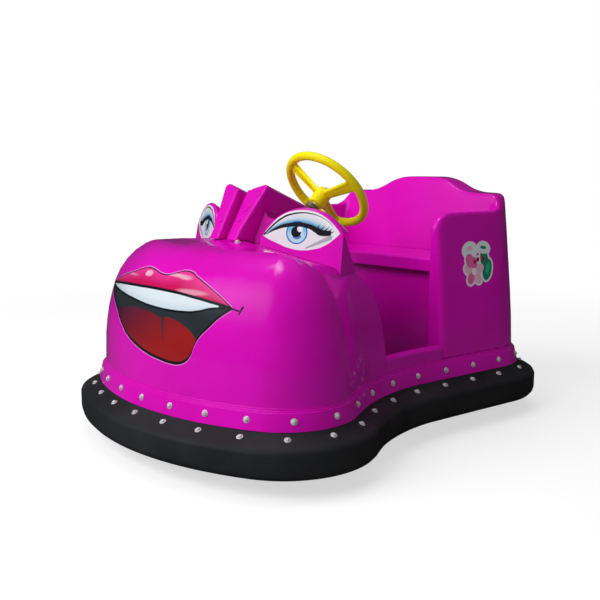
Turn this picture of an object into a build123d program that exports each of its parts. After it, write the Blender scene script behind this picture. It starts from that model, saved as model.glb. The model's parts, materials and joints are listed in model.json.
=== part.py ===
"""Two-seat fairground bumper car, built piece by piece in millimetres.

Frame: the car looks along -Y, its left side is +X, +Z is up. The origin is on
the floor under the middle of the rubber ring's bounding box.
"""
from build123d import *
from math import acos, asin, atan2, cos, degrees, hypot, pi, radians, sin, sqrt, tan
import os

# Plan of the flange bolt row: round shoulders and tail corners, joined by a
# bowed nose, hollow waists and straight sides
HALF_LENGTH = 644.0
SHOULDER_X, SHOULDER_Y, R_SHOULDER = 279.7, -386.8, 190.0
TAIL_X, R_TAIL = 220.3, 180.0
R_WAIST = 644.0
SIDE_HEADING = 83.2

# Heights above the floor
RING_Z0, RING_H = 47.0, 108.0
SKIRT_H = 55.0
SILL_H = 42.0
SILL_TOP = RING_Z0 + RING_H + SKIRT_H + SILL_H
HOOD_H = 377.0
SEAT_Z = 508.0
RAIL_Z0, RAIL_H, RAIL_W = 110.0, 40.0, 30.0
PAN_T = 6.0

# Rubber ring and what is clamped to it
RING_OUT = 64.0
BAND_OUT, BAND_T, BAND_H = -6.0, 6.0, 92.0

# Walls and fits
SKIN = 8.0
SKIRT_WALL = 7.0
BODY_INSET = 14.0
SILL_W = 36.0
WING_W = 62.0
RUNNING = 0.05
SEATING = 0.2

# Where the doorway, seat and backrest stand along the car
HOOD_BACK = -64.0
WING_FRONT = 186.0
SEAT_FRONT = 236.0
SEAT_BACK = 436.0
BACK_LEAN = 15.5
BACKREST_Z = 702.0
HUMP_H, HUMP_TOP_X, HUMP_FOOT_X = 51.0, 102.0, 192.0
WING_Z, WING_NOSE, WING_RISE = 650.0, 24.0, 42.0

# Hood: (inset from the body's foot, share of its height), then the cap as (scale, share)
HOOD = [(0, 0.0), (1.5, 0.106), (3, 0.212), (8, 0.326), (14, 0.424), (24, 0.53), (35, 0.629), (51, 0.721),
        (73, 0.804), (98, 0.87), (128, 0.923), (158, 0.957)]
CAP = [(0.86, 0.981), (0.7, 0.993), (0.5, 1.0)]
LIP = [(HOOD_BACK, RING_Z0), (HOOD_BACK, SILL_TOP + 4), (-84, 430), (-146, 508), (-214, 614), (-250, 640),
       (-250, 900), (400, 900), (400, RING_Z0)]
LIP_ROUND = [0, 20, 60, 40, 0, 0, 0, 0, 0]

# Roll of the hood's top down to each cheek: where it starts, its heading, radius and slope
CHEEK_X, CHEEK_Y = 51.0, -389.0
CHEEK_TURN, CHEEK_R, CHEEK_SLOPE = 30.0, 250.0, 16.4

# Cowl, fins and eye pads
BROW = [(0, -20), (62, -20), (84, -92), (225, -102), (330, -142), (480, -210)]
BROW_ROUND = [0, 14, 20, 60, 60, 0]
BROW_Y, BROW_Z, DASH_SLOPE = -274.0, 738.0, 20.5
BROW_SET, BROW_TILT = 32.0, 28.0
FACE_YAW, FACE_TILT = 24.0, 10.0
FACE_X, FACE_Y, FACE_Z = 210.0, -266.0, 612.0
DASH_X, DASH_Y, LIP_Y = 292.0, -4.0, -205.0
COWL_INSET = 76.0
FIN_TILT, FIN_STEP, FIN_L, RIB_W = 31.0, 22.0, 200.0, 28.0
PAD_HALF, PAD_RISE, PAD_DEPTH, PAD_SLOPE = 128.0, 74.0, 110.0, 34.0

# Lap belt bolts through the seat pan
BELT_X, BELT_HOLE_R, BELT_EDGE = 220.0, 5.5, 28.0

# Steering column: the axis leans back to the driver
WHEEL_Y, WHEEL_Z = 44.0, 715.0
COLUMN_ANGLE = 40.3
SHAFT_R, TUBE_R, COLLAR_R = 10.0, 16.0, 23.0
RIM_R, RIM_GRIP_R = 136.5, 14.0
SPOKES = (-130.0, -10.0, 110.0)
TUBE_TOP, SHAFT_END = 96.0, 410.0

# Drive unit under the nose
DRIVE_Y = -300.0
DRIVE_R, DRIVE_W, DRIVE_HUB_R = 80.0, 50.0, 42.0
STEM_R, PIN_R = 12.0, 8.0
CARRIER_Z, CARRIER_T, CARRIER_W = 200.0, 8.0, 430.0
MOTOR_R, MOTOR_L = 34.0, 94.0

# Rear axle
AXLE_Y, AXLE_R = HALF_LENGTH - 244.0, 9.0
REAR_R, REAR_W, REAR_HUB_R, REAR_X = 70.0, 42.0, 36.0, 300.0

# Battery behind the seat wall, pedal before the driver's right foot
BATTERY_L, BATTERY_W, BATTERY_H = 330.0, 170.0, 190.0
BATTERY_Y = WING_FRONT + 114.0
PEDAL_X, PEDAL_W = -130.0, 64.0

RING_Z1 = RING_Z0 + RING_H
SKIRT_Z1 = RING_Z1 + SKIRT_H
PAN_Z0 = RAIL_Z0 + RAIL_H
PAN_Z1 = PAN_Z0 + PAN_T
TAIL_Y = HALF_LENGTH - R_TAIL


def step(point, heading, out):
    """Point moved sideways from the plan, outboard at a heading."""
    h = radians(heading)
    return (point[0] + out * sin(h), point[1] - out * cos(h))


def walk(point, heading, radius, to_heading):
    """Point reached by turning from one heading to another on an arc."""
    centre = step(point, heading, -radius)
    return step(centre, to_heading, radius)


# Nose arc through the middle of the front and tangent to the shoulder circles
nose_d = SHOULDER_Y + HALF_LENGTH
R_NOSE = (SHOULDER_X ** 2 + nose_d ** 2 - R_SHOULDER ** 2) / (2 * (nose_d - R_SHOULDER))
A_NOSE = degrees(asin(SHOULDER_X / (R_NOSE - R_SHOULDER)))
J0 = (0.0, -HALF_LENGTH)
J1 = walk(J0, 0, R_NOSE, A_NOSE)
J4 = step((TAIL_X, TAIL_Y), SIDE_HEADING, R_TAIL)
J5 = (TAIL_X, HALF_LENGTH)

# Waist arc tangent to the shoulder circle and to the straight side
out_x, out_y = sin(radians(SIDE_HEADING)), -cos(radians(SIDE_HEADING))
base_x, base_y = J4[0] + out_x * R_WAIST - SHOULDER_X, J4[1] + out_y * R_WAIST - SHOULDER_Y
along = base_x * -out_y + base_y * out_x
reach = (R_WAIST + R_SHOULDER) ** 2 - (base_x * base_x + base_y * base_y - along * along)
SIDE_LENGTH = along - sqrt(reach)
J3 = (J4[0] + out_y * SIDE_LENGTH, J4[1] - out_x * SIDE_LENGTH)
WAIST_C = step(J3, SIDE_HEADING, R_WAIST)
A_SHOULDER = degrees(atan2(WAIST_C[0] - SHOULDER_X, SHOULDER_Y - WAIST_C[1]))
J2 = step((SHOULDER_X, SHOULDER_Y), A_SHOULDER, R_SHOULDER)


def arc(start, h0, h1, radius, out):
    """Arc of the left side moved outboard, as start, middle and end points."""
    mid = (h0 + h1) / 2
    return ("arc", step(start, h0, out), step(walk(start, h0, radius, mid), mid, out),
            step(walk(start, h0, radius, h1), h1, out))


def mirrored(pieces):
    """The same run of pieces on the right side, walked backwards."""
    return [(piece[0], *[(-x, y) for x, y in reversed(piece[1:])]) for piece in reversed(pieces)]


def full_plan(out):
    """Closed plan of the whole car, moved outboard by a distance."""
    side = [arc(J0, 0, A_NOSE, R_NOSE, out),
            arc(J1, A_NOSE, A_SHOULDER, R_SHOULDER, out),
            arc(J2, A_SHOULDER, SIDE_HEADING, -R_WAIST, out),
            ("line", step(J3, SIDE_HEADING, out), step(J4, SIDE_HEADING, out)),
            arc(J4, SIDE_HEADING, 180, R_TAIL, out)]
    end = side[-1][-1]
    return side + [("line", end, (-end[0], end[1]))] + mirrored(side)


def nose_plan(out, y_back):
    """Closed plan of the front of the car, cut straight at y_back."""
    turn = degrees(acos((y_back - WAIST_C[1]) / (R_WAIST - out)))
    side = [arc(J0, 0, A_NOSE, R_NOSE, out),
            arc(J1, A_NOSE, A_SHOULDER, R_SHOULDER, out),
            arc(J2, A_SHOULDER, turn, -R_WAIST, out)]
    end = side[-1][-1]
    return side + [("line", end, (-end[0], end[1]))] + mirrored(side)


def tail_plan(out, y_front, nose=0.0):
    """Closed plan of the back of the car, cut at y_front with its corners rounded if asked."""
    h = radians(SIDE_HEADING)
    edge = step(J4, SIDE_HEADING, out)
    first = (edge[0] + (y_front - edge[1]) / tan(h), y_front)
    end = (J5[0], J5[1] + out)
    side = [arc(J4, SIDE_HEADING, 180, R_TAIL, out)]
    if nose:
        run = nose / tan((pi - h) / 2)
        centre = (first[0] - run, y_front + nose)
        start, stop = (first[0] - run, y_front), (centre[0] + nose * sin(h), centre[1] - nose * cos(h))
        middle = (centre[0] + nose * sin(h / 2), centre[1] - nose * cos(h / 2))
        side = [("arc", start, middle, stop), ("line", stop, edge)] + side
    else:
        side = [("line", first, edge)] + side
    back = mirrored(side)
    return side + [("line", end, (-end[0], end[1]))] + back + [("line", back[-1][-1], side[0][1])]


def plan_face(pieces, z, scale=1.0, about_y=0.0):
    """Flat face of a closed plan at a height, shrunk toward a point if asked."""
    edges = []
    for piece in pieces:
        points = [(scale * x, about_y + scale * (y - about_y), z) for x, y in piece[1:]]
        edges.append(ThreePointArc(*points) if piece[0] == "arc" else Line(*points))
    return Face(Wire(edges))


def prism(pieces, z0, z1):
    """Upright solid on a closed plan."""
    return extrude(plan_face(pieces, z0), amount=z1 - z0, dir=(0, 0, 1))


def block(x0, x1, y0, y1, z0, z1):
    """Box between two corners."""
    return Pos((x0 + x1) / 2, (y0 + y1) / 2, (z0 + z1) / 2) * Box(x1 - x0, y1 - y0, z1 - z0)


def outline(points, rounding):
    """Closed polygon in the XY plane with each corner rounded by its own radius."""
    face = Face(Wire(Polyline(*points, close=True).edges()))
    for (x, y), radius in zip(points, rounding):
        if radius:
            corner = min(face.vertices(), key=lambda v: hypot(v.X - x, v.Y - y))
            face = face.fillet_2d(radius, [corner])
    return face


def side_slab(points, x0, x1, rounding=()):
    """Solid with a (y, z) outline between two x values."""
    plane = Plane(origin=(x0, 0, 0), x_dir=(0, 1, 0), z_dir=(1, 0, 0))
    return extrude(plane * outline(points, rounding), amount=x1 - x0, dir=(1, 0, 0))


def front_slab(points, y0, y1, rounding=()):
    """Solid with an (x, z) outline between two y values."""
    plane = Plane(origin=(0, y0, 0), x_dir=(1, 0, 0), z_dir=(0, -1, 0))
    return extrude(plane * outline(points, rounding), amount=y1 - y0, dir=(0, 1, 0))


def rod(p0, p1, radius):
    """Round bar between two points."""
    axis = Vector(*p1) - Vector(*p0)
    plane = Plane(origin=p0, z_dir=axis)
    return plane * Cylinder(radius, axis.length, align=(Align.CENTER, Align.CENTER, Align.MIN))


def largest(shape):
    """The biggest solid of a shape."""
    return max(shape.solids(), key=lambda solid: solid.volume)


parts = {}

# Rubber ring: (outboard distance as a share of its width, height from its top)
RING = [(7, 0), (18, 10), (50, 25), (59, 31), (RING_OUT, 41), (RING_OUT, 84), (61, 95), (53, 104), (43, RING_H)]
ring = loft([plan_face(full_plan(o), RING_Z1 - d) for o, d in RING], ruled=True)
parts["rubber_bumper"] = ring - prism(full_plan(BAND_OUT), RING_Z0 - 5, RING_Z1 + 5)
band = prism(full_plan(BAND_OUT), PAN_Z0 - BAND_H, PAN_Z0)
parts["mounting_band"] = band - prism(full_plan(BAND_OUT - BAND_T), RING_Z0 - 5, RING_Z1 + 5)

# Flange of the body moulding, stepped by the double ridge along its top
SKIRT = [(7, 0), (-4, SKIRT_H - 11), (-8, SKIRT_H - 10), (-8, SKIRT_H - 7), (-12, SKIRT_H - 6),
         (-12, SKIRT_H - 2), (-BODY_INSET, SKIRT_H)]
skirt = loft([plan_face(full_plan(o), RING_Z1 + h) for o, h in SKIRT], ruled=True)
hollow = loft([plan_face(full_plan(o - SKIRT_WALL), RING_Z1 + h)
               for o, h in [(9.5, -10), (-4, SKIRT_H - 11), (-BODY_INSET, SKIRT_H), (-BODY_INSET, SKIRT_H + 9)]],
              ruled=True)
parts["flange_skirt"] = skirt - hollow

# Steel frame and floor
inside = prism(full_plan(BAND_OUT - BAND_T), RING_Z0, SKIRT_Z1)
RAIL_X = CARRIER_W / 2 - RAIL_W / 2
rails = [block(x - RAIL_W / 2, x + RAIL_W / 2, -HALF_LENGTH + 84, HALF_LENGTH - 44, RAIL_Z0, PAN_Z0) & inside
         for x in (-RAIL_X, RAIL_X)]
parts["chassis_rails"] = Compound([largest(r) for r in rails])
bars = []
for y in (-HALF_LENGTH + 124, -90, AXLE_Y - 150, HALF_LENGTH - 84):
    bar = block(-HALF_LENGTH, HALF_LENGTH, y - RAIL_W / 2, y + RAIL_W / 2, RAIL_Z0, PAN_Z0) & inside
    for rail in rails:
        bar = bar - rail
    bars += bar.solids()
parts["cross_members"] = Compound(bars)
SWEEP_R = MOTOR_L + DRIVE_W / 2 + 57
pan = prism(full_plan(BAND_OUT - 1), PAN_Z0, PAN_Z1)
parts["floor_pan"] = pan - Pos(0, DRIVE_Y, PAN_Z0) * Cylinder(SWEEP_R, 4 * PAN_T)

# Door sills, from the hood's lip to the wings
top = prism(full_plan(-BODY_INSET), SKIRT_Z1, SILL_TOP) - prism(full_plan(-BODY_INSET - SILL_W), RING_Z0, 400)
low = (prism(full_plan(-BODY_INSET - SKIN), PAN_Z1, SKIRT_Z1)
       - prism(full_plan(-BODY_INSET - SILL_W), RING_Z0, 400))
for side, x0, x1 in (("left", 0, 600), ("right", -600, 0)):
    sill = largest((top + low) & block(x0, x1, HOOD_BACK + SEATING, WING_FRONT - SEATING, PAN_Z1, SILL_TOP))
    rims = sill.edges().filter_by(lambda e: e.center().Z > SILL_TOP - 0.1 and e.length > SILL_W * 2)
    parts["door_sill_" + side] = sill.fillet(SILL_W * 0.38, rims)

# Hood, its walls running on behind the doorway's front edge before the opening is cut
BACK_Y = HOOD_BACK + 24


def cheek(side, wall):
    """What the roll to one cheek takes off the hood's top."""
    turn, end = radians(CHEEK_TURN), radians(CHEEK_SLOPE)
    on_arc = [(CHEEK_R * sin(a), CHEEK_R * (cos(a) - 1)) for a in (0, end / 2, end)]
    tip = (on_arc[2][0] + 460 * cos(end), on_arc[2][1] - 460 * sin(end))
    rim = [on_arc[2], tip, (tip[0], 120), (0, 120), (0, 0)]
    face = Face(Wire([ThreePointArc(*on_arc)] + [Line(p, q) for p, q in zip(rim, rim[1:])]))
    plane = Plane(origin=(CHEEK_X, CHEEK_Y, SKIRT_Z1 + HOOD_H - wall), x_dir=(sin(turn), cos(turn), 0),
                  z_dir=(cos(turn), -sin(turn), 0))
    cut = extrude(plane * face, amount=500, dir=(cos(turn), -sin(turn), 0), both=True)
    return cut if side > 0 else mirror(cut, about=Plane.YZ)


def hood_solid(wall, below):
    """Outside of the hood moved inwards by a wall, its foot moved below the flange."""
    faces = []
    for inset, share in HOOD:
        plan = nose_plan(-BODY_INSET - inset - wall, BACK_Y)
        foot = 0 if share else below
        faces.append(plan_face(plan, SKIRT_Z1 + share * (HOOD_H - wall) - foot))
    for scale, share in CAP:
        faces.append(plan_face(plan, SKIRT_Z1 + share * HOOD_H - wall, scale, BACK_Y))
    return loft(faces, ruled=True) - cheek(1, wall) - cheek(-1, wall)


hood_outer = hood_solid(0, 0)
opening = side_slab(LIP, -600, 600, LIP_ROUND)



# Cowl: a sloping top over a brow wall, its middle plane and one turned plane each side
def facing(origin, yaw, tilt):
    """Plane through a point, turned outboard by a yaw and leaned back by a tilt."""
    y, t = radians(yaw), radians(tilt)
    return Plane(origin=origin, x_dir=(cos(y), sin(y), 0),
                 z_dir=(sin(y) * cos(t), -cos(y) * cos(t), sin(t)))


def behind(plane, wall):
    """Half space behind a plane, moved back by a wall."""
    return plane * Pos(0, 0, -450 - wall) * Box(1800, 1800, 900)


under_dash = side_slab([(-260, 300), (-260, 500), (-180, 540), (DASH_Y - 40, 588), (200, 596), (200, 300)],
                       -DASH_X + 20, DASH_X - 20, [0, 0, 20, 40, 0, 0])


def cowl_solid(wall):
    """Outside of the cowl moved inwards by a wall."""
    half = [(x, z + BROW_Z - wall) for x, z in BROW]
    points = half + [(480, 300), (-480, 300)] + [(-x, z) for x, z in reversed(half[1:])]
    rounding = BROW_ROUND + [0, 0] + BROW_ROUND[:0:-1]
    slope = radians(DASH_SLOPE)
    top = extrude(Plane(origin=(0, BROW_Y, 0), x_dir=(1, 0, 0), z_dir=(0, -1, 0)) * outline(points, rounding),
                  amount=900, dir=(0, cos(slope), -sin(slope)), both=True)
    solid = prism(full_plan(-COWL_INSET - wall), 400, 900) & top
    edge = [(-600, -900), (600, -900), (600, LIP_Y), (DASH_X, LIP_Y), (130, DASH_Y), (-130, DASH_Y),
            (-DASH_X, LIP_Y), (-600, LIP_Y)]
    solid = solid & Pos(0, -wall, 300) * extrude(outline(edge, [0, 0, 0, 50, 50, 50, 50, 0]), amount=700)
    solid = solid & behind(facing((0, BROW_Y + 34, BROW_Z), 0, BROW_TILT), wall)
    for side in (1, -1):
        face = facing((side * FACE_X, FACE_Y, FACE_Z), side * FACE_YAW, FACE_TILT)
        solid = solid & behind(face, wall + BROW_SET)
    return solid - Pos(0, 0, 1.2 * wall) * under_dash


cowl_outer = cowl_solid(0)
roof_hole = block(-DASH_X + 20, DASH_X - 20, -260, 200, SKIRT_Z1 + HOOD_H - 60, 900)
inside_cowl = cowl_solid(SKIN) & block(-600, 600, -600, 200, SKIRT_Z1 + HOOD_H - 60, 900)
parts["hood"] = largest(hood_outer - hood_solid(SKIN, 10) - opening - inside_cowl - roof_hole)
axis_y, axis_z = cos(radians(COLUMN_ANGLE)), sin(radians(COLUMN_ANGLE))


def on_column(s):
    """Point on the column axis, s millimetres below the wheel's centre."""
    return (0, WHEEL_Y - s * axis_y, WHEEL_Z - s * axis_z)


hood_seat = hood_solid(-3 * SEATING, 10)
lip_ends = opening - block(-DASH_X + 20, DASH_X - 20, -600, 600, 0, 900)
cowl = cowl_outer - cowl_solid(SKIN) - lip_ends - hood_seat
cowl = cowl - rod(on_column(60), on_column(300), COLLAR_R + 1)
parts["cowl"] = largest(cowl)
cowl_seat = cowl_solid(-2 * SEATING)

# Fins on the forehead: leaning outboard, they run back into the dash
def along_brow(profile, rounding, slope):
    """Bar with an (x, z) outline that runs back and down from before the brow."""
    drop = radians(slope)
    front = Plane(origin=(0, BROW_Y - 150, 150 * tan(drop)), x_dir=(1, 0, 0), z_dir=(0, -1, 0))
    return extrude(front * outline(profile, rounding), amount=150 + FIN_L, dir=(0, cos(drop), -sin(drop)))


brow_face = facing((0, BROW_Y - 4, BROW_Z + 4), 0, FIN_TILT)
FIN = [(17, 480), (60, 480), (62, 580), (98, BROW_Z + 6), (26, BROW_Z - 18)]
fin = along_brow(FIN, [0, 0, 0, 14, 10], DASH_SLOPE + 2) & behind(brow_face, 0)
front = fin.edges().filter_by(lambda e: abs(brow_face.to_local_coords(e.center()).Z) < 0.5
                              and e.center().Z > 520)
parts["fin_left"] = largest(fin.fillet(6, front) - cowl_seat - hood_seat)
RIB = [(-RIB_W / 2, 480), (RIB_W / 2, 480), (RIB_W / 2, BROW_Z - 12), (-RIB_W / 2, BROW_Z - 12)]
rib = along_brow(RIB, [0, 0, 6, 6], DASH_SLOPE + 2) & behind(brow_face, FIN_STEP)
parts["fin_middle"] = largest(rib - cowl_seat - hood_seat)

# Eye pads: a panel whose top follows the eye, running down into the hood
face = facing((FACE_X, FACE_Y, FACE_Z), FACE_YAW, FACE_TILT)
PAD = [ThreePointArc((-PAD_HALF, -16), (0, PAD_RISE), (PAD_HALF, -4)), Line((PAD_HALF, -4), (PAD_HALF, -190)),
       Line((PAD_HALF, -190), (-PAD_HALF + 10, -190)), Line((-PAD_HALF + 10, -190), (-PAD_HALF, -16))]
slope = radians(PAD_SLOPE)
pad = extrude(face * Face(Wire(PAD)), amount=PAD_DEPTH, dir=(0, cos(slope), -sin(slope)))
front = pad.edges().filter_by(lambda e: abs(face.to_local_coords(e.center()).Z) < 0.5
                              and face.to_local_coords(e.center()).Y > -150)
pad = pad.fillet(10, front) & prism(full_plan(-COWL_INSET - 1), 300, 900)
parts["eye_pad_left"] = largest(pad - (opening & block(-600, 600, -600, 600, 0, FACE_Z)) - cowl_seat - hood_seat)
for name in ("fin", "eye_pad"):
    parts[name + "_right"] = mirror(parts[name + "_left"], about=Plane.YZ)

# Back of the body round the seat: (inset from the body's foot, share of its height)
TAIL = [(0, 0.0), (4, 0.167), (11, 0.333), (19.5, 0.5), (28, 0.667), (37, 0.833), (48, 1.0)]
TAIL_H = BACKREST_Z + HUMP_H + 9 - SKIRT_Z1
lean = tan(radians(BACK_LEAN))


def tail_solid(wall):
    """Outside of the seat shell moved inwards by a wall."""
    return loft([plan_face(tail_plan(-BODY_INSET - inset - wall, WING_FRONT, WING_NOSE), SKIRT_Z1 + share * TAIL_H)
                 for inset, share in TAIL], ruled=True)


tail = tail_solid(0)
low_zone = side_slab([(100, 200), (WING_FRONT, 200), (WING_FRONT, WING_Z), (470, WING_Z), (470, 200)], -600, 600,
                     [0, 0, 62, 0, 0])
high = [(480, 200), (480, WING_Z), (353, WING_Z), (322, BACKREST_Z - 6), (290, BACKREST_Z),
        (HUMP_FOOT_X, BACKREST_Z), (HUMP_TOP_X, BACKREST_Z + HUMP_H)]
high_round = [0, 0, 20, 30, 60, 200, 180]
back_line = [(SEAT_BACK - 10 * lean, SEAT_Z - 10), (SEAT_BACK + (800 - SEAT_Z) * lean, 800)]
rise = [(SEAT_BACK - 40, 200), (SEAT_BACK - 40, WING_Z), (SEAT_BACK + (WING_Z - SEAT_Z) * lean, WING_Z), back_line[1],
        (720, 800), (720, 200)]
high_zone = front_slab(high + [(-x, z) for x, z in reversed(high)], SEAT_BACK - 50, 720,
                       high_round + high_round[::-1])
high_zone = high_zone & side_slab(rise, -600, 600, [0, 0, WING_RISE, 0, 0, 0])
seat_plan = tail_plan(-BODY_INSET - WING_W, 100)
seat_space = prism(seat_plan, SEAT_Z - 10, 800) & side_slab(
    [(50, SEAT_Z - 10)] + back_line + [(50, 800)], -600, 600)
foot_space = prism(seat_plan, PAN_Z0, SEAT_Z) & block(-600, 600, 50, SEAT_FRONT + 42, PAN_Z0, SEAT_Z)
hollow_tail = tail_solid(SKIN)
under_seat = hollow_tail & block(-600, 600, SEAT_FRONT + 42, 700, PAN_Z0, SEAT_Z - 8)
boot = hollow_tail & side_slab([(SEAT_BACK + 8, SEAT_Z - 18), (SEAT_BACK + 9, SEAT_Z),
                                (SEAT_BACK + 9 + (186 * lean), SEAT_Z + 186), (700, SEAT_Z + 186),
                                (700, SEAT_Z - 18)], -300, 300)


def inner_nose():
    """What the rounding takes off the inner front corner of the left wing."""
    h = radians(SIDE_HEADING)
    start, stop = seat_plan[0][1:]
    x = start[0] + (WING_FRONT - start[1]) * (stop[0] - start[0]) / (stop[1] - start[1])
    run = WING_NOSE / tan(h / 2)
    centre = Vector(x + run, WING_FRONT + WING_NOSE)
    front, back = (x + run, WING_FRONT), (x + run * cos(h), WING_FRONT + run * sin(h))
    middle = centre + (Vector(x, WING_FRONT) - centre).normalized() * WING_NOSE
    rim = [(front[0], WING_FRONT - 2), (x - 4, WING_FRONT - 2), (back[0] - 4, back[1]), back]
    face = Face(Wire([Line(front, rim[0])] + [Line(p, q) for p, q in zip(rim, rim[1:])]
                     + [ThreePointArc(back, (middle.X, middle.Y), front)]))
    return Pos(0, 0, PAN_Z0) * extrude(face, amount=700)


nose_left = inner_nose()
shell = (tail & (low_zone + high_zone)) - seat_space - foot_space - under_seat - boot - nose_left
shell = shell - mirror(nose_left, about=Plane.YZ)
parts["seat_shell"] = largest(shell)

# Seat: a pan with a turned-down lip and a wall below it
edge_plan = tail_plan(-BODY_INSET - WING_W - SEATING, 100)
seat = prism(edge_plan, SEAT_Z - 8, SEAT_Z) & block(-600, 600, SEAT_FRONT, SEAT_BACK - SEATING - 10 * lean,
                                                    SEAT_Z - 8, SEAT_Z)
lip = prism(edge_plan, SEAT_Z - 40, SEAT_Z) & side_slab(
    [(SEAT_FRONT - 8, SEAT_Z - 40), (SEAT_FRONT - 8, SEAT_Z), (SEAT_FRONT + 4, SEAT_Z),
     (SEAT_FRONT + 4, SEAT_Z - 40)], -600, 600, [0, 8, 0, 0])
seat = seat + lip
for x in (-BELT_X, BELT_X):
    seat = seat - Pos(x, SEAT_BACK - BELT_EDGE, SEAT_Z - 4) * Cylinder(BELT_HOLE_R, 40)
parts["seat_pan"] = seat
parts["seat_riser"] = prism(edge_plan, PAN_Z1, SEAT_Z - 8) & block(
    -600, 600, SEAT_FRONT + 26, SEAT_FRONT + 34, PAN_Z1, SEAT_Z - 8)
parts["battery"] = block(-BATTERY_L / 2, BATTERY_L / 2, BATTERY_Y, BATTERY_Y + BATTERY_W, PAN_Z1,
                         PAN_Z1 + BATTERY_H)

# Steering wheel: rim, dished hub and three spokes
wheel_plane = Plane(origin=(0, WHEEL_Y, WHEEL_Z), x_dir=(1, 0, 0), z_dir=(0, axis_y, axis_z))
parts["wheel_rim"] = wheel_plane * Torus(RIM_R, RIM_GRIP_R)
DISH = [(0, -68), (21, -68), (24, -64), (27, -20), (22, -8), (12, -4), (0, -4)]
hub = revolve(Plane.XZ * outline(DISH, [0, 0, 3, 4, 8, 0, 0]), Axis.Z)
for angle in SPOKES:
    turn = radians(angle)
    for shift in (-9, 9):
        near = (20 * cos(turn) - shift * sin(turn), 20 * sin(turn) + shift * cos(turn), -24)
        far = (RIM_R * cos(turn) - 1.6 * shift * sin(turn), RIM_R * sin(turn) + 1.6 * shift * cos(turn), 0)
        hub = hub + rod(near, far, 6.5)
hub = (wheel_plane * hub) - parts["wheel_rim"]
parts["wheel_hub"] = largest(hub - rod(on_column(-40), on_column(90), SHAFT_R))
parts["steering_shaft"] = rod(on_column(14), on_column(SHAFT_END), SHAFT_R)
bore = rod(on_column(60), on_column(SHAFT_END), SHAFT_R + RUNNING)
parts["column_tube"] = rod(on_column(TUBE_TOP), on_column(SHAFT_END - 20), TUBE_R) - bore
parts["column_collar"] = rod(on_column(TUBE_TOP - 16), on_column(TUBE_TOP), COLLAR_R) - bore

# Carrier of the drive unit and the stay of the column
half_w = CARRIER_W / 2
carrier = block(-half_w, half_w, DRIVE_Y - 95, DRIVE_Y + 95, CARRIER_Z, CARRIER_Z + CARRIER_T)
for x in (-half_w + CARRIER_T / 2, half_w - CARRIER_T / 2):
    carrier = carrier + block(x - CARRIER_T / 2, x + CARRIER_T / 2, DRIVE_Y - 95, DRIVE_Y + 95, PAN_Z1, CARRIER_Z)
carrier = carrier + Pos(0, DRIVE_Y, CARRIER_Z + CARRIER_T) * Cylinder(
    STEM_R + 14, 42, align=(Align.CENTER, Align.CENTER, Align.MIN))
parts["drive_carrier"] = carrier - Pos(0, DRIVE_Y, CARRIER_Z) * Cylinder(STEM_R + RUNNING, 200)
stay_z = CARRIER_Z + CARRIER_T
stay = front_slab([(-60, stay_z), (60, stay_z), (24, 500), (-24, 500)], DRIVE_Y + 81, DRIVE_Y + 89)
parts["column_stay"] = largest(stay - rod(on_column(90), on_column(SHAFT_END), TUBE_R) - block(
    -100, 100, DRIVE_Y, 0, on_column(0)[2] - 2000, stay_z))

# Fork with its stem, motor and pin
FORK_Z = CARRIER_Z - 12
FORK_X = DRIVE_W / 2 + 19
fork = Pos(0, DRIVE_Y, FORK_Z - 6) * Cylinder(60, 12) + Pos(0, DRIVE_Y, FORK_Z + 3) * Cylinder(20, 8)
for x in (-FORK_X, FORK_X):
    fork = fork + block(x - 4, x + 4, DRIVE_Y - 28, DRIVE_Y + 28, DRIVE_R - 20, FORK_Z - 6)
parts["drive_fork"] = fork - rod((-80, DRIVE_Y, DRIVE_R), (80, DRIVE_Y, DRIVE_R), PIN_R)
parts["fork_stem"] = rod((0, DRIVE_Y, FORK_Z + 7), (0, DRIVE_Y, FORK_Z + 208), STEM_R)
parts["drive_pin"] = rod((-FORK_X - 12, DRIVE_Y, DRIVE_R), (FORK_X + 12, DRIVE_Y, DRIVE_R), PIN_R)
motor_x = FORK_X + 12
parts["drive_motor"] = rod((motor_x, DRIVE_Y, DRIVE_R + 16), (motor_x + MOTOR_L, DRIVE_Y, DRIVE_R + 16), MOTOR_R)
parts["motor_plate"] = block(FORK_X + 4, motor_x, DRIVE_Y - 36, DRIVE_Y + 36, DRIVE_R - 18,
                             DRIVE_R + 52) - parts["drive_pin"]


def wheel(x, y, tyre_r, width, hub_r, bore_r):
    """Tyre and hub of a wheel turning about the x axis."""
    tyre = rod((x - width / 2, y, tyre_r), (x + width / 2, y, tyre_r), tyre_r)
    tyre = fillet(tyre.edges().filter_by(GeomType.CIRCLE), width * 0.18)
    core = rod((x - width / 2, y, tyre_r), (x + width / 2, y, tyre_r), hub_r)
    bore = rod((x - width, y, tyre_r), (x + width, y, tyre_r), bore_r + RUNNING)
    return tyre - core, core - bore


parts["drive_tyre"], parts["drive_hub"] = wheel(0, DRIVE_Y, DRIVE_R, DRIVE_W, DRIVE_HUB_R, PIN_R)
for side, sign in (("left", 1), ("right", -1)):
    tyre, core = wheel(sign * REAR_X, AXLE_Y, REAR_R, REAR_W, REAR_HUB_R, AXLE_R)
    parts["rear_tyre_" + side], parts["rear_hub_" + side] = tyre, core

end_x = REAR_X + REAR_W / 2 + 11
axle = rod((-end_x, AXLE_Y, REAR_R), (end_x, AXLE_Y, REAR_R), AXLE_R)
for x in (-end_x - 6, end_x, -REAR_X + REAR_W / 2 + 5, REAR_X - REAR_W / 2 - 11):
    axle = axle + rod((x, AXLE_Y, REAR_R), (x + 6, AXLE_Y, REAR_R), AXLE_R + 6)
parts["rear_axle"] = axle
brackets = [block(x - 5, x + 5, AXLE_Y - 30, AXLE_Y + 30, REAR_R - AXLE_R - 9, RAIL_Z0) - axle
            for x in (-RAIL_X, RAIL_X)]
parts["axle_brackets"] = Compound([largest(b) for b in brackets])

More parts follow.
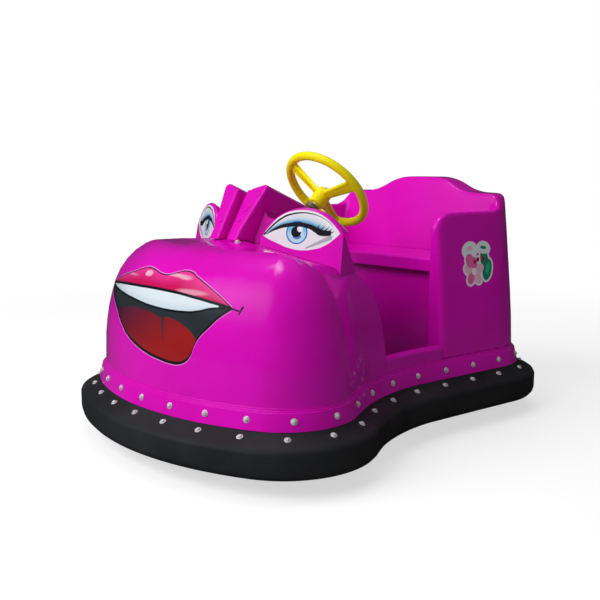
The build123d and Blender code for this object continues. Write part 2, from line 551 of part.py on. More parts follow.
# Pedal on the floor
x0, x1 = PEDAL_X - PEDAL_W / 2, PEDAL_X + PEDAL_W / 2
foot = side_slab([(-190, PAN_Z1), (-120, PAN_Z1), (-120, PAN_Z1 + 8), (-158, PAN_Z1 + 8), (-168, PAN_Z1 + 30),
                  (-182, PAN_Z1 + 44)], x0, x1)
plate = Pos(PEDAL_X, -175, PAN_Z1 + 40) * Rot(-50, 0, 0) * Box(PEDAL_W, 96, 6)
parts["pedal"] = foot + plate

os.makedirs("parts", exist_ok=True)
for name, shape in parts.items():
    export_step(shape, "parts/" + name + ".step")
    print(name, round(shape.volume / 1000), "cm3", "valid" if shape.is_valid else "invalid")
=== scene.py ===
"""Dresses a two-seat fairground bumper car, in metres, with its nose toward -Y.

The body is glossy magenta glass fibre over a black rubber ring. A face is
printed on the nose and brow, domed bolts hold the ring, and the steering
wheel is yellow plastic. Steel running gear shows from below.
"""
import json
import logging
import math
from dataclasses import dataclass, field
from enum import Enum
from typing import Callable, Iterable, Sequence

import bpy
from mathutils import Matrix, Vector


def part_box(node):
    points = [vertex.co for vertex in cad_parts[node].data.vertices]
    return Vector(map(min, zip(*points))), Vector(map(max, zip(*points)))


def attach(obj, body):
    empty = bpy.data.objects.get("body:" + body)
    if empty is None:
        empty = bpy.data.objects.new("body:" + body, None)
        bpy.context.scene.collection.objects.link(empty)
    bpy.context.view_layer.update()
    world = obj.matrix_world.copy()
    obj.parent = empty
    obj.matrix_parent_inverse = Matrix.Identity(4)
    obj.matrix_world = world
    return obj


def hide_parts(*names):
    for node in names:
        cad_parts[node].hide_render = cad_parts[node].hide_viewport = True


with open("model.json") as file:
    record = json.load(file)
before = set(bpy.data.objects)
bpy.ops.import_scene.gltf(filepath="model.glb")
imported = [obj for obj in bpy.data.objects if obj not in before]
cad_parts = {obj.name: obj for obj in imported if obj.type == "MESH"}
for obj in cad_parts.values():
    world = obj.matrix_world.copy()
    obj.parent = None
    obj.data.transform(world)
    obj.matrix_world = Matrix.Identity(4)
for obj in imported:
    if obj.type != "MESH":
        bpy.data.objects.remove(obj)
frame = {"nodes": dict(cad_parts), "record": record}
log = logging.getLogger("bumper_car")

Color = tuple[float, float, float]
Point = tuple[float, float, float]
Knot = tuple[float, float]
Spot = tuple[Knot, Knot, float, Color]
Stroke = tuple[Knot, Knot, float, float]
Socket = bpy.types.NodeSocket
Material = bpy.types.Material

X_AXIS: Point = (1.0, 0.0, 0.0)
Y_AXIS: Point = (0.0, 1.0, 0.0)
Z_AXIS: Point = (0.0, 0.0, 1.0)
FORWARD: Point = (0.0, -1.0, 0.0)
CENTRE: Point = (0.0, 0.0, 0.0)
EDGE = 0.0006


class Body(Enum):
    """The bodies that pieces ride on."""

    CHASSIS = "chassis"
    STEERING = "steering_wheel"
    FORK = "drive_fork"
    DRIVE_WHEEL = "drive_wheel"
    REAR_LEFT = "rear_wheel_left"
    REAR_RIGHT = "rear_wheel_right"


class Slot(Enum):
    """The record's material slots."""

    PAINT = "paint"
    RUBBER = "rubber"
    STEEL = "steel"
    FRAME = "frame"
    FLOOR = "floor"
    BATTERY = "battery"
    MOTOR = "motor"
    YELLOW = "yellow"
    TYRE = "tyre"
    ALLOY = "alloy"


class Graph:
    """A material's node tree, with one call for each kind of node used here."""

    def __init__(self, name: str) -> None:
        """Starts a material with one principled shader.

        Args:
            name: Name of the material.
        """
        self.material = bpy.data.materials.new(name)
        self.material.use_nodes = True
        self.tree = self.material.node_tree
        self.tree.nodes.clear()
        self.shader = self.tree.nodes.new("ShaderNodeBsdfPrincipled")
        self.surface = self.tree.nodes.new("ShaderNodeOutputMaterial").inputs["Surface"]
        self.show(self.shader.outputs["BSDF"])
        coordinates = self.tree.nodes.new("ShaderNodeTexCoord")
        self.place, self.normal = coordinates.outputs["Object"], coordinates.outputs["Normal"]
        self.chart = coordinates.outputs["UV"]

    def show(self, shader: Socket) -> None:
        """Shows a shader on the surface.

        Args:
            shader: The shader's output.
        """
        self.tree.links.new(shader, self.surface)

    def glow(self, level: float) -> Socket:
        """White light of a level.

        Args:
            level: Its brightness.

        Returns:
            The emission's output.
        """
        node = self.tree.nodes.new("ShaderNodeEmission")
        node.inputs["Strength"].default_value = level
        return node.outputs[0]

    def blend(self, share: Socket, first: Socket, second: Socket) -> Socket:
        """Shader mixed from two by a share of the second.

        Args:
            share: Share of the second shader.
            first: The first shader.
            second: The second shader.

        Returns:
            The mixed shader's output.
        """
        node = self.tree.nodes.new("ShaderNodeMixShader")
        for socket, value in zip(node.inputs, (share, first, second)):
            self.put(socket, value)
        return node.outputs[0]

    def put(self, socket: Socket, value: "Socket | float | Iterable[float]") -> None:
        """Links a socket to another, or sets its constant.

        Args:
            socket: The input.
            value: The other socket, or the constant.
        """
        if isinstance(value, bpy.types.NodeSocket):
            self.tree.links.new(value, socket)
        else:
            socket.default_value = value

    def math(self, operation: str, *values: "Socket | float", clamp: bool = False) -> Socket:
        """Result of one math node.

        Args:
            operation: Name of the operation.
            values: Its inputs, each a socket or a number.
            clamp: True to keep the result between 0 and 1.

        Returns:
            The output socket.
        """
        node = self.tree.nodes.new("ShaderNodeMath")
        node.operation, node.use_clamp = operation, clamp
        for socket, value in zip(node.inputs, values):
            self.put(socket, value)
        return node.outputs[0]

    def plus(self, first: "Socket | float", second: "Socket | float") -> Socket:
        """Sum of two values.

        Args:
            first: One value.
            second: The other value.

        Returns:
            The sum's socket.
        """
        return self.math("ADD", first, second)

    def minus(self, first: "Socket | float", second: "Socket | float") -> Socket:
        """Difference of two values.

        Args:
            first: The value that is taken from.
            second: The value that is taken off.

        Returns:
            The difference's socket.
        """
        return self.math("SUBTRACT", first, second)

    def times(self, first: "Socket | float", second: "Socket | float") -> Socket:
        """Product of two values.

        Args:
            first: One value.
            second: The other value.

        Returns:
            The product's socket.
        """
        return self.math("MULTIPLY", first, second)

    def rise(self, value: Socket, low: Socket, high: Socket) -> Socket:
        """Share of the way from one line to another that a value has come.

        Args:
            value: The value.
            low: The line where the share is zero.
            high: The line where it is one.

        Returns:
            The share's socket, which isn't held at its ends.
        """
        return self.math("DIVIDE", self.minus(value, low), self.minus(high, low))

    def dot(self, vector: Socket, axis: Point) -> Socket:
        """Share of a vector that lies along an axis.

        Args:
            vector: The vector.
            axis: The axis.

        Returns:
            The share's socket.
        """
        node = self.tree.nodes.new("ShaderNodeVectorMath")
        node.operation = "DOT_PRODUCT"
        self.put(node.inputs[0], vector)
        node.inputs[1].default_value = axis
        return node.outputs["Value"]

    def along(self, axis: Point, origin: Point = CENTRE) -> Socket:
        """Distance along an axis from an origin, in metres.

        Args:
            axis: The axis.
            origin: Where the distance is zero.

        Returns:
            The distance's socket.
        """
        shift = self.tree.nodes.new("ShaderNodeVectorMath")
        shift.operation = "SUBTRACT"
        self.put(shift.inputs[0], self.place)
        shift.inputs[1].default_value = origin
        return self.dot(shift.outputs[0], axis)

    def facing(self, axis: Point) -> Socket:
        """One where the surface looks along an axis, and zero where it looks away.

        Args:
            axis: The axis.

        Returns:
            The mask's socket.
        """
        edge_on, turned = 0.05, 0.15
        return self.span(self.dot(self.normal, axis), edge_on, turned)

    def noise(self, scale: float, detail: float = 2.0, stretch: Point = (1.0, 1.0, 1.0)) -> Socket:
        """Noise from 0 to 1 over the object's own coordinates.

        Args:
            scale: Features per metre.
            detail: Octaves of detail.
            stretch: Scale along each axis.

        Returns:
            The noise value's socket.
        """
        mapping = self.tree.nodes.new("ShaderNodeMapping")
        self.put(mapping.inputs["Vector"], self.place)
        mapping.inputs["Scale"].default_value = stretch
        node = self.tree.nodes.new("ShaderNodeTexNoise")
        self.put(node.inputs["Vector"], mapping.outputs[0])
        node.inputs["Scale"].default_value = scale
        node.inputs["Detail"].default_value = detail
        return node.outputs["Fac"]

    def span(self, value: Socket, low: float, high: float,
             to_low: float = 0.0, to_high: float = 1.0) -> Socket:
        """Value carried from one range to another and held at its ends.

        Args:
            value: The value.
            low: Start of its range.
            high: End of its range.
            to_low: Start of the new range.
            to_high: End of the new range.

        Returns:
            The carried value's socket.
        """
        node = self.tree.nodes.new("ShaderNodeMapRange")
        node.clamp = True
        for socket, number in zip(node.inputs[:5], (value, low, high, to_low, to_high)):
            self.put(socket, number)
        return node.outputs[0]

    def curve(self, value: Socket, knots: Sequence[Knot]) -> Socket:
        """Height of a drawn line over a distance, through its knots.

        Args:
            value: The distance.
            knots: (distance, height) of each knot, in rising distance.

        Returns:
            The line's height, in the knots' own unit.
        """
        start, end = knots[0][0], knots[-1][0]
        low, high = min(knot[1] for knot in knots), max(knot[1] for knot in knots)
        node = self.tree.nodes.new("ShaderNodeFloatCurve")
        line = node.mapping.curves[0]
        for _ in knots[2:]:
            line.points.new(0.5, 0.5)
        for point, (x, y) in zip(line.points, knots):
            point.location = ((x - start) / (end - start), (y - low) / (high - low))
        node.mapping.update()
        self.put(node.inputs["Value"], self.span(value, start, end))
        return self.span(node.outputs[0], 0.0, 1.0, low, high)

    def less(self, value: "Socket | float", limit: "Socket | float", soft: float = EDGE) -> Socket:
        """One where a value is below a limit.

        Args:
            value: The value.
            limit: Its limit.
            soft: Half width of the mask's edge.

        Returns:
            The mask's socket.
        """
        return self.span(self.minus(limit, value), -soft, soft)

    def joined(self, operation: str, masks: Sequence[Socket]) -> Socket:
        """One mask from several.

        Args:
            operation: What is done with each two of them.
            masks: The masks.

        Returns:
            The mask's socket.
        """
        result = masks[0]
        for mask in masks[1:]:
            result = self.math(operation, result, mask)
        return result

    def both(self, *masks: Socket) -> Socket:
        """One only where every mask is one.

        Args:
            masks: The masks.

        Returns:
            The mask's socket.
        """
        return self.joined("MULTIPLY", masks)

    def either(self, *masks: Socket) -> Socket:
        """One where any mask is one.

        Args:
            masks: The masks.

        Returns:
            The mask's socket.
        """
        return self.joined("MAXIMUM", masks)

    def within(self, value: Socket, low: "Socket | float", high: "Socket | float") -> Socket:
        """One between two limits, with soft edges.

        Args:
            value: The value.
            low: Its lower limit.
            high: Its upper limit.

        Returns:
            The mask's socket.
        """
        return self.both(self.less(low, value), self.less(value, high))

    def blot(self, u: Socket, v: Socket, centre: Knot, radii: Knot,
             turn: float = 0.0, soft: float = EDGE) -> Socket:
        """One inside an ellipse.

        Args:
            u: Distance across the print.
            v: Distance up the print.
            centre: Middle of the ellipse.
            radii: Its half width and half height.
            turn: Degrees that it is turned by.
            soft: Half width of its edge.

        Returns:
            The mask's socket.
        """
        cos, sin = math.cos(math.radians(turn)), math.sin(math.radians(turn))
        across, up = self.minus(u, centre[0]), self.minus(v, centre[1])
        first = self.plus(self.times(across, cos), self.times(up, sin))
        second = self.minus(self.times(up, cos), self.times(across, sin))
        squares = [self.math("POWER", self.math("DIVIDE", part, radius), 2.0)
                   for part, radius in ((first, radii[0]), (second, radii[1]))]
        reach = self.math("SQRT", self.math("ADD", *squares))
        edge = soft / min(radii)
        return self.span(reach, 1.0 - edge, 1.0 + edge, 1.0, 0.0)

    def stroke(self, u: Socket, v: Socket, start: Knot, end: Knot, width: float,
               tip: float = 1.0) -> Socket:
        """One inside a straight brush stroke.

        Args:
            u: Distance across the print.
            v: Distance up the print.
            start: Where the stroke begins.
            end: Where it ends.
            width: Its width where it begins.
            tip: Share of the width that is left at its end.

        Returns:
            The mask's socket.
        """
        run, rise = end[0] - start[0], end[1] - start[1]
        length = math.hypot(run, rise)
        across, up = self.minus(u, start[0]), self.minus(v, start[1])
        run, rise = run / length, rise / length
        ahead = self.plus(self.times(across, run), self.times(up, rise))
        held = self.span(ahead, 0.0, length, 0.0, length)
        aside = self.math("ABSOLUTE", self.minus(self.times(up, run), self.times(across, rise)))
        past = self.math("ABSOLUTE", self.minus(ahead, held))
        half = self.span(ahead, 0.0, length, width / 2, width * tip / 2)
        return self.less(self.plus(aside, past), half)

    def mix(self, share: "Socket | float", first: "Socket | Color", second: "Socket | Color") -> Socket:
        """Colour mixed from two by a share of the second.

        Args:
            share: Share of the second colour.
            first: The first colour.
            second: The second colour.

        Returns:
            The mixed colour's socket.
        """
        node = self.tree.nodes.new("ShaderNodeMix")
        node.data_type = "RGBA"
        self.put(node.inputs[0], share)
        for socket, value in ((node.inputs[6], first), (node.inputs[7], second)):
            self.put(socket, value if isinstance(value, bpy.types.NodeSocket) else (*value, 1.0))
        return node.outputs[2]

    def bump(self, height: Socket, strength: float, distance: float) -> None:
        """Roughens the surface by a height field.

        Args:
            height: Height from 0 to 1.
            strength: Share of the bump that shows.
            distance: Real height of the field, in metres.
        """
        node = self.tree.nodes.new("ShaderNodeBump")
        self.put(node.inputs["Height"], height)
        node.inputs["Strength"].default_value = strength
        node.inputs["Distance"].default_value = distance
        self.tree.links.new(node.outputs[0], self.shader.inputs["Normal"])


@dataclass(frozen=True)
class MouthPrint:
    """The open mouth printed on the nose, as outlines of (x, height) in metres.

    Reaches and insets are distances from an outline, fades are the ends of a range of colour, and the shines
    are painted highlights of reflected light on the lips.
    """

    lip_top: tuple[Knot, ...] = (
        (-0.341, 0.447), (-0.243, 0.477), (-0.168, 0.496), (-0.130, 0.507), (-0.091, 0.513), (-0.053, 0.510),
        (-0.020, 0.504), (0.006, 0.503), (0.029, 0.507), (0.053, 0.514), (0.077, 0.518), (0.093, 0.517),
        (0.124, 0.507), (0.171, 0.490), (0.212, 0.472), (0.238, 0.458), (0.264, 0.443))
    lip_foot: tuple[Knot, ...] = (
        (-0.341, 0.445), (-0.204, 0.459), (-0.093, 0.465), (-0.011, 0.467), (0.058, 0.466), (0.137, 0.460),
        (0.205, 0.452), (0.264, 0.442))
    teeth_foot: tuple[Knot, ...] = (
        (-0.341, 0.443), (-0.311, 0.440), (-0.183, 0.433), (-0.103, 0.428), (-0.014, 0.422), (0.055, 0.420),
        (0.114, 0.421), (0.165, 0.427), (0.216, 0.439), (0.264, 0.443))
    chin: tuple[Knot, ...] = (
        (-0.341, 0.430), (-0.300, 0.414), (-0.261, 0.402), (-0.210, 0.379), (-0.171, 0.357), (-0.118, 0.332),
        (-0.064, 0.315), (0.002, 0.301), (0.057, 0.294), (0.090, 0.291), (0.121, 0.292), (0.145, 0.300),
        (0.164, 0.317), (0.176, 0.348), (0.189, 0.371), (0.212, 0.396), (0.235, 0.421), (0.264, 0.443))
    tongue: tuple[Knot, ...] = (
        (-0.270, 0.370), (-0.208, 0.391), (-0.091, 0.408), (-0.002, 0.407), (0.040, 0.397), (0.062, 0.401),
        (0.100, 0.397), (0.123, 0.390), (0.155, 0.376), (0.184, 0.345))
    line: float = 0.0034
    pale_reach: Knot = (0.008, 0.0036)
    pale_share: float = 0.55
    black_reach: Knot = (0.0055, 0.0014)
    lip_inset: float = 0.0012
    lip_fade: Knot = (0.25, 0.95)
    # painted highlights: reflected light painted on the lips as pale spots and streaks, each as centre, radii
    # and share
    painted_highlights: tuple[tuple[Knot, Knot, float], ...] = (
        ((-0.078, 0.500), (0.017, 0.0075), 0.9), ((0.056, 0.5055), (0.040, 0.0035), 0.85),
        ((0.088, 0.501), (0.018, 0.0030), 0.8), ((0.128, 0.470), (0.050, 0.0065), 0.55),
        ((-0.185, 0.488), (0.034, 0.0026), 0.55), ((-0.090, 0.4985), (0.007, 0.0055), 1.0))
    painted_highlight_edge: float = 0.0022
    throat_inset: float = 0.0022
    slope: Knot = (0.42, -0.9)
    slope_fade: Knot = (-0.44, -0.27)
    tongue_edge: float = 0.0015
    tongue_end: float = 0.186
    creases: tuple[Stroke, ...] = (
        ((0.046, 0.402), (0.062, 0.338), 0.010, 0.15), ((-0.010, 0.409), (0.046, 0.398), 0.006, 0.15))
    teeth_ends: Knot = (-0.330, 0.226)
    tooth_fade: Knot = (0.0, 0.5)
    corner: tuple[Stroke, ...] = (
        ((0.260, 0.4425), (0.284, 0.4365), 0.0040, 1.0), ((0.291, 0.4470), (0.285, 0.4280), 0.0062, 0.5))
    black: Color = (0.006, 0.006, 0.014)
    lip: Color = (0.60, 0.004, 0.10)
    lip_light: Color = (0.82, 0.035, 0.30)
    # colour of the painted highlights on the lips
    painted_highlight: Color = (0.86, 0.50, 0.66)
    gum: Color = (0.022, 0.032, 0.038)
    tongue_dark: Color = (0.055, 0.012, 0.040)
    tongue_red: Color = (0.34, 0.012, 0.012)
    tooth: Color = (0.74, 0.82, 0.88)
    tooth_low: Color = (0.58, 0.70, 0.78)
    edge: Color = (0.80, 0.42, 0.82)

    def lay(self, graph: Graph, under: Socket) -> Socket:
        """Lays the mouth over the paint.

        Args:
            graph: The paint's graph.
            under: The paint's colour.

        Returns:
            The colour with the mouth on it.
        """
        x, z = graph.along(X_AXIS), graph.along(Z_AXIS)
        top, foot, teeth, chin, tongue = (
            graph.curve(x, knots)
            for knots in (self.lip_top, self.lip_foot, self.teeth_foot, self.chin, self.tongue))
        front = graph.facing(FORWARD)
        nose = graph.both(front, graph.within(x, self.lip_top[0][0], self.lip_top[-1][0]))
        color = under
        for (below, above), share, tint in ((self.pale_reach, self.pale_share, self.edge),
                                            (self.black_reach, 1.0, self.black)):
            whole = graph.both(nose, graph.within(z, graph.minus(chin, below), graph.plus(top, above)))
            color = graph.mix(graph.times(whole, share), color, tint)
        lips = graph.both(nose, graph.within(z, graph.plus(foot, self.line),
                                             graph.minus(top, self.lip_inset)))
        height = graph.span(graph.rise(z, foot, top), *self.lip_fade)
        color = graph.mix(lips, color, graph.mix(height, self.lip, self.lip_light))
        # the painted highlights of reflected light go over the lips
        for centre, radii, share in self.painted_highlights:
            painted_highlight = graph.times(graph.blot(x, z, centre, radii, soft=self.painted_highlight_edge), share)
            color = graph.mix(graph.both(lips, painted_highlight), color, self.painted_highlight)
        throat = graph.both(nose, graph.within(z, graph.plus(chin, self.throat_inset),
                                               graph.minus(foot, self.line)))
        color = graph.mix(throat, color, self.gum)
        slant = graph.plus(graph.times(x, self.slope[0]), graph.times(z, self.slope[1]))
        flesh = graph.mix(graph.span(slant, *self.slope_fade), self.tongue_dark, self.tongue_red)
        color = graph.mix(graph.both(throat, graph.less(z, tongue, self.tongue_edge),
                                     graph.less(x, self.tongue_end)), color, flesh)
        for crease in self.creases:
            color = graph.mix(graph.both(throat, graph.stroke(x, z, *crease)), color, self.gum)
        bite = graph.within(z, graph.plus(teeth, self.line / 2), graph.minus(foot, self.line))
        depth = graph.span(graph.rise(z, teeth, foot), *self.tooth_fade)
        color = graph.mix(graph.both(throat, bite, graph.within(x, *self.teeth_ends)), color,
                          graph.mix(depth, self.tooth_low, self.tooth))
        edge = graph.within(z, graph.minus(teeth, self.line), graph.plus(teeth, self.line / 2))
        color = graph.mix(graph.both(throat, edge), color, self.black)
        tick = graph.either(*(graph.stroke(x, z, *mark) for mark in self.corner))
        return graph.mix(graph.both(tick, front), color, self.black)


@dataclass(frozen=True)
class EyePrint:
    """One eye printed on a brow pad, as outlines of (outboard, up) in metres from its middle.

    The rings are the rim of the iris, the iris, its light, its low shade, the pupil and the glint, each
    as its shift, radii, edge and share of colour.
    """

    side: int
    middle: Point = (0.210, -0.266, 0.612)
    yaw: float = math.radians(24.0)
    tilt: float = math.radians(10.0)
    upper: tuple[Knot, ...] = (
        (-0.110, -0.008), (-0.086, 0.021), (-0.063, 0.042), (-0.034, 0.055), (-0.001, 0.060), (0.032, 0.057),
        (0.062, 0.046), (0.090, 0.026), (0.114, 0.0))
    lower: tuple[Knot, ...] = (
        (-0.110, -0.013), (-0.095, -0.021), (-0.064, -0.033), (-0.032, -0.044), (0.007, -0.049),
        (0.045, -0.044),
        (0.074, -0.033), (0.093, -0.020), (0.114, -0.001))
    lid: tuple[Knot, ...] = (
        (-0.106, -0.004), (-0.083, 0.020), (-0.060, 0.038), (-0.033, 0.050), (0.003, 0.0545), (0.033, 0.051),
        (0.063, 0.040), (0.092, 0.019))
    lash_top: tuple[Knot, ...] = (
        (-0.100, -0.008), (-0.073, 0.012), (-0.043, 0.023), (-0.007, 0.027), (0.023, 0.023), (0.050, 0.014),
        (0.071, 0.007), (0.088, 0.006))
    lash_foot: tuple[Knot, ...] = (
        (-0.100, -0.009), (-0.067, 0.006), (-0.043, 0.012), (-0.012, 0.015), (0.018, 0.011), (0.042, 0.0),
        (0.066, -0.009), (0.088, -0.006))
    thickness: float = 0.004
    lid_width: tuple[float, float, float, float] = (-0.1, 0.07, 0.0072, 0.0014)
    lid_end: float = 0.092
    blue_fade: Knot = (0.0, 0.42)
    shade_fade: tuple[float, float, float, float] = (0.12, 0.85, 1.0, 0.0)
    shade_end: tuple[float, float, float, float] = (0.060, 0.095, 1.0, 0.0)
    grey_stroke: Stroke = ((0.018, -0.043), (0.088, -0.012), 0.004, 3.2)
    grey_top: float = -0.006
    grey_share: float = 0.7
    iris: Knot = (-0.011, -0.0015)
    iris_fade: Knot = (-0.030, 0.016)
    rings: tuple[tuple[Knot, Knot, float, float], ...] = (
        ((0.0, 0.0), (0.0315, 0.0315), EDGE, 1.0), ((0.0, 0.0), (0.0283, 0.0283), EDGE, 1.0),
        ((0.0, -0.006), (0.022, 0.017), 0.004, 0.75), ((0.001, -0.011), (0.0125, 0.0075), EDGE, 0.8),
        ((-0.002, 0.002), (0.0150, 0.0150), EDGE, 1.0), ((0.009, 0.010), (0.0085, 0.0085), EDGE, 1.0))
    lash_end: float = 0.0885
    hairs: tuple[Stroke, ...] = (
        ((0.056, 0.004), (0.070, 0.020), 0.0055, 0.12), ((0.066, 0.001), (0.082, 0.017), 0.0055, 0.12),
        ((0.076, 0.0), (0.092, 0.012), 0.0055, 0.12), ((0.082, -0.003), (0.098, 0.005), 0.0055, 0.12),
        ((0.045, 0.008), (0.056, 0.022), 0.0055, 0.12))
    white: Color = (0.90, 0.93, 0.95)
    black: Color = (0.010, 0.012, 0.018)
    shadow_blue: Color = (0.05, 0.42, 0.72)
    shadow_pale: Color = (0.52, 0.75, 0.82)
    ring: Color = (0.008, 0.14, 0.50)
    iris_pale: Color = (0.46, 0.88, 1.0)
    iris_blue: Color = (0.12, 0.56, 0.88)
    iris_light: Color = (0.66, 0.90, 0.95)
    glint: Color = (0.93, 0.96, 0.98)
    grey: Color = (0.26, 0.30, 0.38)

    def lay(self, graph: Graph, under: Socket) -> Socket:
        """Lays the eye over the paint.

        Args:
            graph: The paint's graph.
            under: The paint's colour.

        Returns:
            The colour with the eye on it.
        """
        cos, sin = math.cos(self.yaw), math.sin(self.yaw)
        level = math.cos(self.tilt)
        out = Vector((self.side * cos, sin, 0.0))
        ahead = Vector((self.side * sin * level, -cos * level, math.sin(self.tilt)))
        up = ahead.cross(out) * self.side
        origin = (self.side * self.middle[0], self.middle[1], self.middle[2])
        u, w, depth = (graph.along(tuple(axis), origin) for axis in (out, up, ahead))
        upper, lower, lid, lash_top, lash_foot = (
            graph.curve(u, knots)
            for knots in (self.upper, self.lower, self.lid, self.lash_top, self.lash_foot))
        pad = graph.both(graph.within(depth, -self.thickness, self.thickness),
                         graph.within(u, self.upper[0][0], self.upper[-1][0]))
        whole = graph.both(pad, graph.within(w, lower, upper))
        color = graph.mix(whole, under, self.white)
        above = graph.rise(w, lash_top, lid)
        blue = graph.mix(graph.span(above, *self.blue_fade), self.shadow_blue, self.shadow_pale)
        shade = graph.both(whole, graph.less(lash_top, w), graph.span(above, *self.shade_fade),
                           graph.span(u, *self.shade_end))
        color = graph.mix(shade, color, blue)
        lid_line = graph.within(w, graph.minus(lid, graph.span(u, *self.lid_width)), lid)
        color = graph.mix(graph.both(whole, lid_line, graph.less(u, self.lid_end)), color, self.black)
        grey = graph.both(whole, graph.less(w, self.grey_top), graph.stroke(u, w, *self.grey_stroke))
        color = graph.mix(graph.times(grey, self.grey_share), color, self.grey)
        glow = graph.mix(graph.span(w, *self.iris_fade), self.iris_pale, self.iris_blue)
        tints = (self.ring, glow, self.iris_light, self.ring, self.black, self.glint)
        for (shift, radii, soft, share), tint in zip(self.rings, tints):
            centre = (self.iris[0] + shift[0], self.iris[1] + shift[1])
            color = graph.mix(graph.times(graph.blot(u, w, centre, radii, soft=soft), share), color, tint)
        lash = graph.both(graph.within(w, lash_foot, lash_top), graph.less(u, self.lash_end))
        hairs = [graph.stroke(u, w, *hair) for hair in self.hairs]
        return graph.mix(graph.both(whole, graph.either(lash, *hairs)), color, self.black)


@dataclass(frozen=True)
class PosyPrint:
    """A plain posy of blossoms and leaves on the left wing, as (y, height) in metres."""

    middle: Knot = (0.350, 0.492)
    border: float = 0.0065
    white: Color = (0.98, 0.94, 1.0)
    pink: Color = (0.98, 0.16, 0.46)
    pale_pink: Color = (1.0, 0.56, 0.74)
    ice: Color = (0.86, 0.98, 1.0)
    green: Color = (0.006, 0.28, 0.16)
    light_green: Color = (0.03, 0.52, 0.30)
    berry: Color = (0.42, 0.006, 0.06)
    side_from: float = 0.30
    leaves: tuple[Spot, ...] = (
        ((0.036, 0.008), (0.018, 0.032), 12.0, green), ((0.047, -0.024), (0.020, 0.034), -18.0, green),
        ((0.050, -0.020), (0.009, 0.020), -18.0, light_green), ((0.033, 0.043), (0.026, 0.017), -8.0, ice),
        ((-0.028, 0.040), (0.029, 0.021), 6.0, ice))
    blossom: Knot = (-0.012, -0.026)
    petal: Knot = (0.019, 0.015)
    petal_reach: float = 0.026
    petal_turns: tuple[float, ...] = (18.0, 90.0, 162.0, 234.0, 306.0)
    buds: tuple[Spot, ...] = (
        ((-0.030, 0.008), (0.018, 0.022), 20.0, pink), ((-0.028, 0.046), (0.013, 0.007), 10.0, pale_pink),
        ((0.033, 0.046), (0.014, 0.005), -8.0, green), ((-0.012, -0.026), (0.011, 0.011), 0.0, white),
        ((0.006, 0.010), (0.007, 0.007), 0.0, berry), ((-0.008, 0.004), (0.006, 0.006), 0.0, berry),
        ((0.030, 0.012), (0.006, 0.010), 10.0, berry))

    def lay(self, graph: Graph, under: Socket) -> Socket:
        """Lays the posy over the paint.

        Args:
            graph: The paint's graph.
            under: The paint's colour.

        Returns:
            The colour with the posy on it.
        """
        y, z = graph.along(Y_AXIS), graph.along(Z_AXIS)
        side = graph.both(graph.facing(X_AXIS), graph.less(self.side_from, graph.along(X_AXIS)))
        petals = tuple(((self.blossom[0] + self.petal_reach * math.cos(math.radians(turn)),
                         self.blossom[1] + self.petal_reach * math.sin(math.radians(turn))),
                        self.petal, turn, self.pink if step % 2 else self.pale_pink)
                       for step, turn in enumerate(self.petal_turns))
        drawn = [((self.middle[0] + dy, self.middle[1] + dz), radii, turn, color)
                 for (dy, dz), radii, turn, color in self.leaves + petals + self.buds]
        rim = graph.either(*[graph.blot(y, z, centre, (radii[0] + self.border, radii[1] + self.border), turn)
                             for centre, radii, turn, _ in drawn])
        color = graph.mix(graph.both(side, rim), under, self.white)
        for centre, radii, turn, tint in drawn:
            color = graph.mix(graph.both(side, graph.blot(y, z, centre, radii, turn)), color, tint)
        return color


@dataclass(frozen=True)
class Gelcoat:
    """Glossy coloured gelcoat, with faint waves of the mould, and prints under its clear coat.

    Tone and haze are the scale, low end and high end of the noise behind colour and roughness.
    """

    name: str = "magenta_gelcoat"
    prints: tuple["MouthPrint | EyePrint | PosyPrint", ...] = ()
    color: Color = (0.80, 0.0015, 0.55)
    deep: Color = (0.70, 0.001, 0.46)
    roughness: float = 0.32
    roughness_range: float = 0.08
    specular: float = 0.12
    coat_roughness: float = 0.025
    tone: tuple[float, float, float] = (5.0, 0.35, 0.7)
    haze: tuple[float, float, float] = (60.0, 0.3, 0.75)
    wave_scale: float = 6.0
    wave_share: float = 0.2
    wave_height: float = 0.0010

    def build(self) -> Material:
        """Builds the gelcoat.

        Returns:
            Its material.
        """
        graph = Graph(self.name)
        scale, low, high = self.tone
        color = graph.mix(graph.span(graph.noise(scale), low, high), self.color, self.deep)
        for art in self.prints:
            color = art.lay(graph, color)
        graph.put(graph.shader.inputs["Base Color"], color)
        scale, low, high = self.haze
        graph.put(graph.shader.inputs["Roughness"],
                  graph.span(graph.noise(scale, 4.0), low, high,
                             self.roughness, self.roughness + self.roughness_range))
        graph.shader.inputs["Specular IOR Level"].default_value = self.specular
        graph.shader.inputs["Coat Weight"].default_value = 1.0
        graph.shader.inputs["Coat Roughness"].default_value = self.coat_roughness
        graph.bump(graph.noise(self.wave_scale, 1.0), self.wave_share, self.wave_height)
        return graph.material


